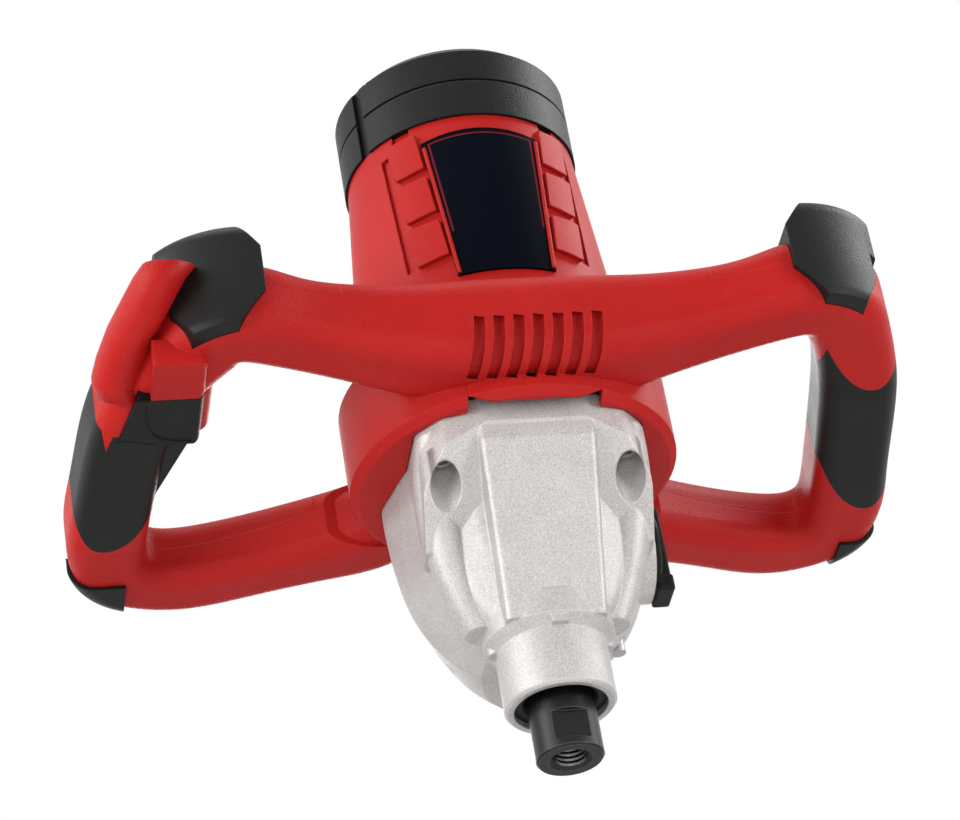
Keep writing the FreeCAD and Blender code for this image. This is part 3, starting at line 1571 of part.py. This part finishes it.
def build():
    frame, cover_left, cover_right = frame_shells()
    nodes = {
        "frame": frame, "handle_cover_left": cover_left, "handle_cover_right": cover_right,
        "motor_housing": motor_housing(), "label_panel": label_panel(), "motor_cap": motor_cap(),
        "cap_cover": cap_cover(), "cap_screws": cap_screw_set(), "barrel_screws": barrel_screws(),
        "cover_screws": cover_screw_set(), "grip_right": grip_right(), "grip_left": grip_left(),
        "bumper_right": bumper_right(), "bumper_left": bumper_left(),
        "foot_right": foot_right(), "foot_left": foot_left(),
        "gearbox_housing": gearbox_housing(), "bearing_plate": bearing_plate(), "gear_cover": gear_cover(),
        "gearbox_screws": gearbox_screws(), "shaft_seal": shaft_seal(), "neck_bearings": neck_bearings(),
        "bearing_spacer": bearing_spacer(), "spindle_top_bearing": spindle_top_bearing(),
        "layshaft_bearings": layshaft_bearings(), "spindle": spindle(), "low_wheel": low_wheel(),
        "high_wheel": high_wheel(), "wheel_ring": gear_key_ring(), "dog_sleeve": dog_sleeve(),
        "layshaft": layshaft(), "layshaft_wheel": layshaft_wheel(), "low_pinion": low_pinion(),
        "high_pinion": high_pinion(), "fork_rail": fork_rail(), "shift_fork": shift_fork(),
        "selector_shaft": selector_shaft(), "selector_knob": selector_knob(),
        "armature_shaft": armature_shaft(), "armature_core": armature_core(),
        "armature_windings": armature_windings(), "commutator": commutator(), "cooling_fan": cooling_fan(),
        "armature_bearings": armature_bearings(), "bearing_cushion": bearing_cushion(),
        "stator_core": stator_core(), "field_coils": field_coils(), "carbon_brushes": carbon_brushes(),
        "brush_holders": brush_holders(), "brush_ring": brush_ring(), "switch_body": switch_body(),
        "trigger_guard": trigger_guard(), "trigger": trigger(), "lock_button": lock_button(),
        "cable_inlet": cable_inlet(),
    }
    os.makedirs("parts", exist_ok=True)
    for name, shape in nodes.items():
        shape.exportStep("parts/" + name + ".step")
        box = shape.BoundBox
        print(name, len(shape.Solids), "valid" if shape.isValid() else "INVALID", round(shape.Volume),
              [round(v, 1) for v in (box.XMin, box.XMax, box.YMin, box.YMax, box.ZMin, box.ZMax)])


loop_outside = loop_form(0)
build()
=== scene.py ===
import math

import bpy
from mathutils import Euler, Matrix, Vector
from mathutils.bvhtree import BVHTree


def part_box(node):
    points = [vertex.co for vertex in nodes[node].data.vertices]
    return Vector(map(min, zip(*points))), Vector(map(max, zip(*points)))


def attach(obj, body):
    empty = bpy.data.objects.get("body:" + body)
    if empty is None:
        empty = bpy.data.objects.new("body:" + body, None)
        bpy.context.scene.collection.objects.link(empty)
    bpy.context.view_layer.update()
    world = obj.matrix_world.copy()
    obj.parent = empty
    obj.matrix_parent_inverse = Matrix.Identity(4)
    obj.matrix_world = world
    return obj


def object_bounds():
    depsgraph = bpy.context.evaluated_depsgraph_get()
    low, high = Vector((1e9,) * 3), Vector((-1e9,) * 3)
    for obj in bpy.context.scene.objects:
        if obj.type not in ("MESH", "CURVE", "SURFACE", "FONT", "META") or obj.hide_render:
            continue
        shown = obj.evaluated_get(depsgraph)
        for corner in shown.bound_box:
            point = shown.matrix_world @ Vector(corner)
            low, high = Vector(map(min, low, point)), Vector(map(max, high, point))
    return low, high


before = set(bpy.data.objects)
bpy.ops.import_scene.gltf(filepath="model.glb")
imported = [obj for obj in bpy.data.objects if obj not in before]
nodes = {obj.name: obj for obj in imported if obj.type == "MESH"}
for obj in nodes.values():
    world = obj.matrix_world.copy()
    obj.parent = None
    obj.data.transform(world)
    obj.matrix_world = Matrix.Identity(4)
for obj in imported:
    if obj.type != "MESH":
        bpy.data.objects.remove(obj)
cad_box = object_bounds()

# Gearbox housing, bearing plate and gear cover. Cast in light metal, shot-blasted and left bare, then bored.
# The blasting leaves a coarse sparkle, and raised edges are rubbed brighter.
# Four screws from below hold the castings together.
mm = 0.001
cast_dark = (0.22, 0.207, 0.203)
cast_light = (0.68, 0.653, 0.64)
blast_gain = 1.9
blast_shift = 0.5
cast_cloud_gain = 0.3
cast_edge_gain = 0.3


class Tone:
    """A socket of a material. Arithmetic on it adds Math nodes, and node() adds any other node."""

    mix_factor, mix_low, mix_high, mix_colour = 0, 6, 7, 2

    def __init__(self, tree, socket):
        self.tree = tree
        self.socket = socket

    def node(self, kind, settings, sockets, output=0):
        made = self.tree.nodes.new("ShaderNode" + kind)
        for name, value in settings.items():
            setattr(made, name, value)
        for name, value in sockets.items():
            if isinstance(value, Tone):
                self.tree.links.new(value.socket, made.inputs[name])
            else:
                made.inputs[name].default_value = value
        return Tone(self.tree, made.outputs[output])

    def maths(self, operation, first, second):
        return self.node("Math", {"operation": operation}, {0: first, 1: second})

    def __add__(self, other):
        return self.maths("ADD", self, other)

    __radd__ = __add__

    def __sub__(self, other):
        return self.maths("SUBTRACT", self, other)

    def __rsub__(self, other):
        return self.maths("SUBTRACT", other, self)

    def __mul__(self, other):
        return self.maths("MULTIPLY", self, other)

    __rmul__ = __mul__

    def __truediv__(self, other):
        return self.maths("DIVIDE", self, other)

    def __gt__(self, other):
        return self.maths("GREATER_THAN", self, other)

    def __lt__(self, other):
        return self.maths("LESS_THAN", self, other)

    def __abs__(self):
        return self.maths("ABSOLUTE", self, 0)

    def axis(self, letter):
        return self.node("SeparateXYZ", {}, {"Vector": self}, letter)

    def noise(self, grain, detail=3.0, rough=0.55):
        sockets = {"Vector": self, "Scale": 1 / grain, "Detail": detail, "Roughness": rough}
        return self.node("TexNoise", {}, sockets)

    def span(self, low, high):
        """A number that goes from low to high."""
        return low + (high - low) * self

    def tint(self, low, high):
        """A colour that goes from low to high, which are colours or tones."""
        low, high = [end if isinstance(end, Tone) else (*end, 1) for end in (low, high)]
        sockets = {self.mix_factor: self, self.mix_low: low, self.mix_high: high}
        return self.node("Mix", {"data_type": "RGBA"}, sockets, self.mix_colour)


class Finish:
    """A material with its shader. Constants go on the shader's own sockets, and tones are linked."""

    def __init__(self, name, **constants):
        self.material = bpy.data.materials.new(name)
        self.material.use_nodes = True
        self.tree = self.material.node_tree
        self.shader = self.tree.nodes["Principled BSDF"]
        self.place = Tone(self.tree, self.tree.nodes.new("ShaderNodeTexCoord").outputs["Object"])
        self.set(**constants)

    def set(self, **values):
        for name, value in values.items():
            socket = self.shader.inputs[name.replace("_", " ")]
            if isinstance(value, Tone):
                self.tree.links.new(value.socket, socket)
            else:
                socket.default_value = value

    def vary(self, pattern, dark, light, smooth, rough):
        """Colour and roughness that change together with a pattern."""
        self.set(Base_Color=pattern.tint(dark, light), Roughness=pattern.span(smooth, rough))

    def rounded(self, radius):
        """Normals as if the edges were rounded over this radius."""
        return self.place.node("Bevel", {"samples": 4}, {"Radius": radius})

    def edge_measure(self, radius, gain=6):
        """High along sharp edges and zero on flat ground."""
        flat = self.place.node("NewGeometry", {}, {}, "Normal")
        normals = {0: self.rounded(radius), 1: flat}
        turn = self.place.node("VectorMath", {"operation": "DOT_PRODUCT"}, normals, "Value")
        return (1 - turn) * gain

    def relief(self, height, depth, corner):
        """Bumps of this depth, on edges that look rounded over the corner's radius."""
        bump = {"Height": height, "Distance": depth, "Normal": self.rounded(corner)}
        self.set(Normal=self.place.node("Bump", {}, bump))

    def dress(self, *names):
        for name in names:
            nodes[name].data.materials.clear()
            nodes[name].data.materials.append(self.material)


cast_metal = Finish("cast_metal", Specular_IOR_Level=0.5, Metallic=0.35)
blast = cast_metal.place.noise(grain=0.6 * mm, rough=0.8)
cast_cloud = cast_metal.place.noise(grain=14 * mm)
cast_edge = cast_metal.edge_measure(radius=0.8 * mm)
cast_wear = blast_gain * blast - blast_shift + cast_cloud_gain * cast_cloud + cast_edge_gain * cast_edge
cast_metal.set(Base_Color=cast_wear.tint(cast_dark, cast_light), Roughness=blast.span(0.36, 0.56))
cast_metal.relief(blast, depth=0.1 * mm, corner=1.2 * mm)
cast_metal.dress("gearbox_housing", "bearing_plate", "gear_cover")

# Rim ribs. Small cast ribs in the air gap between the gearbox's front rim and the frame's skirt.
# They are one with the casting, and keep the fan's outlet from being blocked.
rib_count = 4
rib_step = 7.6 * mm
rib_first = -18 * mm
rib_height = 4.2 * mm
rib_half = 0.7 * mm
rib_depth = 3.2 * mm
rib_height_shares = (0, 0.9, 1)
rib_out = Vector((0, -1, 0))


def sweep(name, path, ring, finish, body):
    """A closed ring of (across, out) offsets carried along (point, normal) pairs, with both ends closed."""
    points = []
    for i, (point, normal) in enumerate(path):
        along = (path[min(i + 1, len(path) - 1)][0] - path[max(i - 1, 0)][0]).normalized()
        across = along.cross(normal).normalized()
        points += [point + across * a + normal * b for a, b in ring]
    count = len(ring)
    faces = [tuple(reversed(range(count))), tuple(range(len(points) - count, len(points)))]
    for i in range(len(path) - 1):
        for k in range(count):
            corner, following = i * count + k, i * count + (k + 1) % count
            faces.append((corner, following, following + count, corner + count))
    mesh = bpy.data.meshes.new(name)
    mesh.from_pydata(points, [], faces)
    mesh.materials.append(finish.material)
    piece = bpy.data.objects.new(name, mesh)
    bpy.context.scene.collection.objects.link(piece)
    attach(piece, body)
    return piece


gearbox_low, gearbox_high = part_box("gearbox_housing")
rib_ring = [(-rib_half, 0), (rib_half, 0), (rib_half, rib_depth - rib_half), (0, rib_depth),
            (-rib_half, rib_depth - rib_half)]
for i in range(rib_count):
    rib_foot = Vector((rib_first + i * rib_step, gearbox_low.y + rib_depth, gearbox_high.z - rib_half))
    rib_path = [(rib_foot + Vector((0, 0, rib_height * share)), rib_out) for share in rib_height_shares]
    sweep("rim_rib_%d" % (i + 1), rib_path, rib_ring, cast_metal, "housing")

# Spindle and selector shaft. Turned from steel and blackened. The spindle has two spanner flats,
# and a tapped end for the paddle. Bare steel shows along the edges, and fine turning marks run round.
steel_black = (0.016, 0.016, 0.015)
steel_bare = (0.16, 0.16, 0.155)
lathe_pitch = 0.35 * mm
lathe_depth = 0.03 * mm
steel_corner = 0.5 * mm
black_steel = Finish("black_steel", Specular_IOR_Level=0.5, Metallic=0.7)
lathe = black_steel.place.node(
    "TexNoise", {"noise_dimensions": "1D"}, {"W": black_steel.place.axis("Z"), "Scale": 1 / lathe_pitch})
steel_edge = black_steel.edge_measure(steel_corner)
black_steel.set(Base_Color=steel_edge.tint(steel_black, steel_bare), Roughness=lathe.span(0.28, 0.43))
black_steel.relief(lathe, lathe_depth, steel_corner)
black_steel.dress("spindle", "selector_shaft")

# Thread of the spindle's hole. M14, cut with a tap, so its turns are bright inside the blackened spindle.
# It starts just inside the hole's mouth and runs up most of its depth.
thread_pitch = 2.0 * mm
thread_r = 5.95 * mm
thread_height = 0.45 * mm
thread_start = 1.2 * mm
thread_turns = 9
thread_steps = 40
thread_root_half = thread_pitch / 2.2
thread_crest_half = thread_pitch / 12
thread_steel = Finish("thread_steel", Metallic=1.0)
thread_oil = thread_steel.place.noise(grain=0.7 * mm, detail=2.0)
thread_steel.vary(thread_oil, dark=(0.10, 0.10, 0.10), light=(0.24, 0.24, 0.24), smooth=0.25, rough=0.45)
thread_path = []
for i in range(thread_turns * thread_steps + 1):
    angle = 2 * math.pi * i / thread_steps
    out = Vector((math.cos(angle), math.sin(angle), 0))
    rise = Vector((0, 0, thread_start + thread_pitch * i / thread_steps))
    thread_path.append((out * thread_r + rise, -out))
thread_ring = [(-thread_root_half, 0), (thread_root_half, 0), (thread_crest_half, thread_height),
               (-thread_crest_half, thread_height)]
sweep("spindle_thread", thread_path, thread_ring, thread_steel, "spindle")

# Gear wheels, shafts, bearings and screws. Hardened and ground steel, oiled inside the gearbox.
# The wheels are pressed or keyed on their shafts, and the screws are zinc-plated.
bright_steel = Finish("bright_steel", Metallic=1.0)
ground = bright_steel.place.noise(grain=0.3 * mm, detail=2.0)
bright_steel.vary(ground, dark=(0.34, 0.34, 0.35), light=(0.55, 0.55, 0.56), smooth=0.22, rough=0.38)
bright_steel.relief(ground, depth=0.01 * mm, corner=0.3 * mm)
bright_steel.dress(
    "cap_screws", "barrel_screws", "cover_screws", "gearbox_screws", "neck_bearings", "bearing_spacer",
    "spindle_top_bearing", "layshaft_bearings", "low_wheel", "high_wheel", "wheel_ring", "dog_sleeve",
    "layshaft", "layshaft_wheel", "low_pinion", "high_pinion", "fork_rail", "shift_fork", "armature_shaft",
    "armature_bearings")

# Motor iron. Stacks of thin stamped sheets, varnished, pressed on the shaft and into the barrel.
# The sheets show as fine lines round the core.
sheet_scale = 1 / (3 * mm)
core_iron = Finish("core_iron", Metallic=0.8)
sheets = core_iron.place.node(
    "TexWave", {"bands_direction": "Z"}, {"Vector": core_iron.place, "Scale": sheet_scale})
core_iron.vary(sheets, dark=(0.06, 0.06, 0.065), light=(0.17, 0.17, 0.18), smooth=0.35, rough=0.55)
core_iron.relief(sheets, depth=0.05 * mm, corner=0.2 * mm)
core_iron.dress("armature_core", "stator_core")

# Windings and commutator. Enamelled copper wire wound into the iron's slots, and bare copper bars
# for the brushes. Varnish holds the strands together.
copper_wire = Finish("copper_wire", Metallic=0.9)
strands = copper_wire.place.noise(grain=0.8 * mm, detail=2.0)
copper_wire.vary(strands, dark=(0.36, 0.13, 0.05), light=(0.62, 0.27, 0.12), smooth=0.25, rough=0.45)
copper_wire.relief(strands, depth=0.15 * mm, corner=0.3 * mm)
copper_wire.dress("armature_windings", "field_coils", "commutator")

# Carbon brushes and their holders. Pressed carbon, sliding in folded brass tubes.
# The holders are clipped into a plastic ring over the commutator.
carbon = Finish("carbon", Metallic=0.2)
carbon_dust = carbon.place.noise(grain=0.5 * mm)
carbon.vary(carbon_dust, dark=(0.012, 0.012, 0.013), light=(0.03, 0.03, 0.03), smooth=0.5, rough=0.7)
carbon.dress("carbon_brushes")
brush_brass = Finish("brush_brass", Metallic=1.0)
brass_cloud = brush_brass.place.noise(grain=2 * mm)
brush_brass.vary(brass_cloud, dark=(0.50, 0.33, 0.10), light=(0.66, 0.47, 0.18), smooth=0.25, rough=0.45)
brush_brass.dress("brush_holders")

# Cooling fan. Moulded in grey nylon and pressed on the armature's shaft below the windings.
# It blows the motor's air out under the skirt.
fan_plastic = Finish("fan_plastic")
fan_grain = fan_plastic.place.noise(grain=0.6 * mm, detail=2.0)
fan_plastic.vary(fan_grain, dark=(0.05, 0.05, 0.055), light=(0.075, 0.075, 0.08), smooth=0.4, rough=0.6)
fan_plastic.dress("cooling_fan")

# Frame and handle covers. Two moulded shells of glass-filled nylon, screwed together along the loops' seam.
# The mould has a spark-eroded grain, so the red plastic is satin. Its edges are painted lighter: partly rub
# wear, partly painted highlight.
# The finish draws the bowed front end of the right grip's rubber on the shell.
shell_dark = (0.35, 0.004, 0.006)
shell_light = (0.51, 0.022, 0.015)
shell_share = 0.5
shell_shift = 0.1
sleeve_black = (0.007, 0.0075, 0.007)
sleeve_inner = 120 * mm
sleeve_middle = 148 * mm
sleeve_shift = 2 * mm
sleeve_splay = 0.16
sleeve_half = 17 * mm
sleeve_bow = 20 * mm
sleeve_bow_limit = 1.25
sleeve_front = -20 * mm


def sleeve_along(place):
    """Place along a grip, measured on lines that bow forward towards its sides, as the rubber's ends do."""
    off_middle = abs(place.axis("X") + sleeve_shift) - sleeve_middle - sleeve_splay * place.axis("Y")
    across = off_middle / sleeve_half
    return place.axis("Y") + sleeve_bow * across.maths("MINIMUM", across * across, sleeve_bow_limit)


red_shell = Finish("red_shell", Specular_IOR_Level=0.14)
red_grain = red_shell.place.noise(grain=0.8 * mm, detail=2.0)
red_cloud = red_shell.place.noise(grain=38 * mm)
# Lighter colour along the shell's edges: partly rub wear, partly painted highlight.
red_rub_and_highlight = red_shell.edge_measure(radius=0.8 * mm)
shell_wear_and_highlight = shell_share * red_cloud + shell_share * red_grain + shell_share * red_rub_and_highlight - shell_shift
shell_red = shell_wear_and_highlight.tint(shell_dark, shell_light)
inked = (red_shell.place.axis("X") > sleeve_inner) * (sleeve_along(red_shell.place) > sleeve_front)
inked = inked * (red_shell.place.axis("Y") < 0)
red_shell.set(Base_Color=inked.tint(shell_red, sleeve_black), Roughness=red_grain.span(0.38, 0.54))
red_shell.relief(red_grain, depth=0.22 * mm, corner=0.9 * mm)
red_shell.dress("frame", "handle_cover_left", "handle_cover_right")

# Motor barrel. The same red plastic, moulded as one tapered tube with louvre blocks on its front.
# It stands on the frame's collar and is held by screws from below.
red_shell.dress("motor_housing")

# Label ridges. Two raised lips of the barrel's red plastic, which lap the long edges of the label
# and hold it down. Their ends are placed by the photograph's pixels and laid on the label's face.
camera_place = Vector((-0.2822, -1.1668, -0.6057))
camera_pitch = math.radians(32.499)
camera_yaw = math.radians(13.098)
camera_roll = math.radians(-10.101)
camera_turn = Euler((math.pi / 2 + camera_pitch, 0, -camera_yaw)).to_matrix()
camera_turn = camera_turn @ Matrix.Rotation(camera_roll, 3, "Z")
camera_lens = 135
camera_film = 36
photo_width = 960
photo_height = 820
ridge_pixels = {"left": [(424, 149), (460, 273)], "right": [(535, 143), (554, 268)]}
ridge_half = 0.8 * mm
ridge_height = 0.9 * mm
laid_step = 0.5 * mm


def sight(x, y):
    """The direction from the camera through a pixel of the photograph."""
    ahead = camera_lens * photo_width / camera_film
    return camera_turn @ Vector((x - photo_width / 2, photo_height / 2 - y, -ahead))


def laid(pixels, name, steps=8):
    """A path of (point, normal) pairs on a node, along straight lines between pixels of the photograph."""
    shape = nodes[name].data
    corners = [vertex.co for vertex in shape.vertices]
    surface = BVHTree.FromPolygons(corners, [tuple(face.vertices) for face in shape.polygons])
    path = []
    for (x0, y0), (x1, y1) in zip(pixels, pixels[1:]):
        for i in range(steps + 1):
            ray = sight(x0 + (x1 - x0) * i / steps, y0 + (y1 - y0) * i / steps)
            point, normal, face, away = surface.ray_cast(camera_place, ray.normalized())
            if point and (not path or (point - path[-1][0]).length > laid_step):
                path.append((point, normal))
    return path


ridge_ring = [(-ridge_half, -ridge_half), (ridge_half, -ridge_half), (ridge_half, ridge_height / 2),
              (ridge_half / 2, ridge_height), (-ridge_half / 2, ridge_height),
              (-ridge_half, ridge_height / 2)]
for side, pixels in ridge_pixels.items():
    ridge_path = laid(pixels, "label_panel")
    sweep("label_ridge_" + side, ridge_path, ridge_ring, red_shell, "housing")

# Shoulder of the left loop. A swelling moulded on the red shell, which fills the loop's outer front corner.
# Its crest is placed by the photograph's pixels, at about the loop's height, and its root is inside the loop.
# The front end laps over the bumper's side.
shoulder_pixels = [(142, 266), (133, 277), (125, 292), (117, 308),
                   (105, 332), (96, 356), (91, 376), (96, 390)]
shoulder_front = 180 * mm
shoulder_rear = 157 * mm
shoulder_depth = 20 * mm
shoulder_half = 13 * mm
shoulder_sides = 20
photo_left = camera_turn @ Vector((-1, 0, 0))


def crest(pixels, front, rear):
    """A path of (point, photo_left) pairs seen at these pixels. Heights go evenly from front to rear."""
    path = []
    for i, (x, y) in enumerate(pixels):
        height = front + (rear - front) * i / (len(pixels) - 1)
        ray = sight(x, y)
        path.append((camera_place + ray * ((height - camera_place.z) / ray.z), photo_left))
    return path


shoulder_ring = []
for i in range(shoulder_sides):
    angle = 2 * math.pi * i / shoulder_sides
    shoulder_ring.append((-shoulder_half * math.cos(angle), (math.sin(angle) - 1) * shoulder_depth / 2))
shoulder_path = crest(shoulder_pixels, shoulder_front, shoulder_rear)
shoulder = sweep("loop_shoulder", shoulder_path, shoulder_ring, red_shell, "housing")
for face in shoulder.data.polygons:
    face.use_smooth = True

# Label panel. A printed sheet on the barrel's front, left bare.
# It is dark blue with a black border, and one thin red line runs up both sides and across the top.
label_border = (0.0012, 0.0012, 0.0016)
label_blue = (0.0012, 0.0018, 0.0055)
label_line = (0.14, 0.012, 0.022)
label_low, label_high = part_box("label_panel")
label_foot_half = 19.5 * mm
label_flare = 4.2 * mm
line_out = 2.2 * mm
line_in = 3.0 * mm
line_foot_share = 0.3
arch_sag = 2.6 * mm
label_print = Finish("label_print", Specular_IOR_Level=0.02)
label_up = (label_print.place.axis("Z") - label_low.z) / (label_high.z - label_low.z)
label_side = label_foot_half + label_flare * label_up - abs(label_print.place.axis("X"))
label_across = label_print.place.axis("X") / (label_foot_half + label_flare)
label_top = label_high.z - arch_sag * label_across * label_across - label_print.place.axis("Z")
label_edge = label_side.maths("MINIMUM", label_side, label_top)
pinstripe = (label_edge > line_out) * (label_edge < line_in) * (label_up > line_foot_share)
label_field = (label_edge > line_in).tint(label_border, label_blue)
label_fleck = label_print.place.noise(grain=0.8 * mm, detail=2.0)
label_print.set(Base_Color=pinstripe.tint(label_field, label_line), Roughness=label_fleck.span(0.46, 0.56))
label_print.relief(label_fleck, depth=0.01 * mm, corner=0.3 * mm)
label_print.dress("label_panel")

# Motor cap and its cover. Black nylon in two tiers, with a seam between them and air slots in the top.
# Three long screws hold both on the barrel.
cap_dark = (0.0025, 0.003, 0.0028)
cap_light = (0.0045, 0.005, 0.0047)
black_plastic = Finish("black_plastic", Specular_IOR_Level=0.16)
cap_grain = black_plastic.place.noise(grain=0.8 * mm, detail=2.0)
cap_cloud = black_plastic.place.noise(grain=25 * mm)
black_plastic.set(Base_Color=cap_cloud.tint(cap_dark, cap_light), Roughness=cap_grain.span(0.36, 0.52))
black_plastic.relief(cap_grain, depth=0.24 * mm, corner=0.9 * mm)
black_plastic.dress("motor_cap", "cap_cover", "brush_ring")

# Gear selector knob. A black nylon wing, pinned on the selector's shaft outside the gearbox.
# A little under a tenth of a turn shifts the dog sleeve.
black_plastic.dress("selector_knob")

# Trigger. Red plastic lever in the left loop, polished by fingers.
# It slides on the switch and comes back by the switch's spring.
trigger_red = Finish("trigger_red", Specular_IOR_Level=0.45)
polish = trigger_red.place.noise(grain=6 * mm, detail=2.0)
trigger_red.vary(polish, dark=(0.40, 0.008, 0.010), light=(0.50, 0.013, 0.014), smooth=0.26, rough=0.46)
trigger_red.relief(polish, depth=0.02 * mm, corner=0.8 * mm)
trigger_red.dress("trigger")

# Switch, its guard and the lock button. Black plastic: the switch is shut inside the left loop,
# behind the guard block. The button stands out of the loop's top and holds the trigger in.
black_plastic.dress("switch_body", "trigger_guard", "lock_button")

# Guard trim. A fine raised line of the guard's mould, where its inner face meets the block.
# It is placed by the photograph's pixels and laid on the guard.
guard_pixels = [(146, 408), (147, 424), (152, 434), (160, 439), (176, 441), (192, 441)]
trim_half = 0.45 * mm
trim_ring = [(-trim_half, -trim_half), (trim_half, -trim_half), (trim_half / 2, trim_half),
             (-trim_half / 2, trim_half)]
trim_path = laid(guard_pixels, "trigger_guard")
sweep("guard_trim", trim_path, trim_ring, black_plastic, "housing")

# Rubber sleeves, corner bumpers, feet and the cable inlet. Soft black rubber moulded over the shells.
# Its face is matt, with a fine dimple, and it greys a little where hands rub it.
# The finish draws the bowed rear ends of the sleeves: red shell shows past them.
rubber_dark = (0.005, 0.0054, 0.005)
rubber_grey = (0.010, 0.0105, 0.0095)
rubber_bared = (0.42, 0.011, 0.010)
dimple_size = 0.9 * mm
sleeve_rear = 53 * mm
sleeve_end = 56 * mm
black_rubber = Finish("black_rubber", Specular_IOR_Level=0.16)
rubber_dimple = black_rubber.place.node(
    "TexVoronoi", {}, {"Vector": black_rubber.place, "Scale": 1 / dimple_size})
rubber_dust = black_rubber.place.noise(grain=18 * mm, detail=4.0)
rubber_black = rubber_dust.tint(rubber_dark, rubber_grey)
bared = abs(black_rubber.place.axis("X")) > sleeve_inner
bared = bared * (sleeve_along(black_rubber.place) > sleeve_rear)
bared = bared * (black_rubber.place.axis("Y") < sleeve_end)
black_rubber.set(Base_Color=bared.tint(rubber_black, rubber_bared), Roughness=rubber_dust.span(0.38, 0.54))
black_rubber.relief(rubber_dimple, depth=0.05 * mm, corner=1.0 * mm)
black_rubber.dress("grip_left", "grip_right", "bumper_left", "bumper_right", "foot_left", "foot_right",
                   "cable_inlet", "bearing_cushion", "shaft_seal")

# Studio. A pale floor far below, as the machine is held up and seen from under it, and seven soft lamps.
# The white of the world is the background, for the camera and in reflections. It adds only a little light.
floor_drop = 0.95
floor_half = 9.0
floor_corners = [(-1, -1), (1, -1), (1, 1), (-1, 1)]
floor_grey = (0.86, 0.86, 0.86)
floor_white = (0.90, 0.90, 0.90)
floor_unlit = (0, 0, 0)
floor_glow = (0.25, 0.25, 0.25)
world_fill = 0.16
world_full = 1.0


def background_rays(tree):
    """One for the rays that show the background: to the camera, in reflections and through clear things."""
    rays = tree.nodes.new("ShaderNodeLightPath")
    shown = Tone(tree, rays.outputs["Is Camera Ray"])
    for ray in ("Is Glossy Ray", "Is Transmission Ray"):
        shown = shown.maths("MAXIMUM", shown, Tone(tree, rays.outputs[ray]))
    return shown


floor_mesh = bpy.data.meshes.new("floor")
floor_points = [(x * floor_half, y * floor_half, -floor_drop) for x, y in floor_corners]
floor_mesh.from_pydata(floor_points, [], [tuple(range(len(floor_points)))])
floor = bpy.data.objects.new("floor", floor_mesh)
bpy.context.scene.collection.objects.link(floor)
floor_paint = Finish("floor_paint", Roughness=0.8, Emission_Strength=1.0)
floor_cloud = floor_paint.place.noise(grain=0.4, detail=2.0)
floor_paint.set(
    Base_Color=floor_cloud.tint(floor_grey, floor_white),
    Emission_Color=background_rays(floor_paint.tree).tint(floor_unlit, floor_glow),
)
floor_mesh.materials.append(floor_paint.material)

world = bpy.data.worlds.new("studio")
bpy.context.scene.world = world
world.use_nodes = True
sky = world.node_tree
background = sky.nodes["Background"]
sky.links.new(background_rays(sky).span(world_fill, world_full).socket, background.inputs["Strength"])
background.inputs["Color"].default_value = (1, 1, 1, 1)

middle = (cad_box[0] + cad_box[1]) / 2


def softbox(name, place, width, height, power):
    lamp = bpy.data.lights.new(name, "AREA")
    lamp.shape = "RECTANGLE"
    lamp.size = width
    lamp.size_y = height
    lamp.energy = power
    holder = bpy.data.objects.new(name, lamp)
    holder.location = place
    holder.rotation_euler = (middle - Vector(place)).to_track_quat("-Z", "Y").to_euler()
    bpy.context.scene.collection.objects.link(holder)


softbox("left", place=(-1.4, -0.75, 0.15), width=0.9, height=0.9, power=20)
softbox("right", place=(1.25, -1.0, 0.05), width=0.5, height=0.9, power=14)
softbox("right_rim", place=(1.25, 0.05, 1.15), width=0.7, height=0.7, power=14)
softbox("left_rim", place=(-1.3, -0.15, 0.95), width=0.7, height=0.7, power=9)
softbox("back", place=(0.3, 1.5, 0.8), width=0.9, height=0.9, power=12)
softbox("top", place=(-0.2, -0.3, 1.6), width=0.8, height=0.8, power=6)
softbox("front", place=(-0.2, -1.5, -0.5), width=0.8, height=0.6, power=4.5)

# Camera. A long lens from below and a little to the left, turned slightly, as the photograph was taken.
# Its place and turns were fitted to points that both loops share and to the round rims.
camera_reach = 50
camera = bpy.data.cameras.new("camera")
camera.lens = camera_lens
camera.sensor_width = camera_film
camera.clip_end = camera_reach
tripod = bpy.data.objects.new("camera", camera)
tripod.matrix_world = Matrix.Translation(camera_place) @ camera_turn.to_4x4()
bpy.context.scene.collection.objects.link(tripod)
bpy.context.scene.camera = tripod
bpy.context.scene.view_settings.view_transform = "Standard"
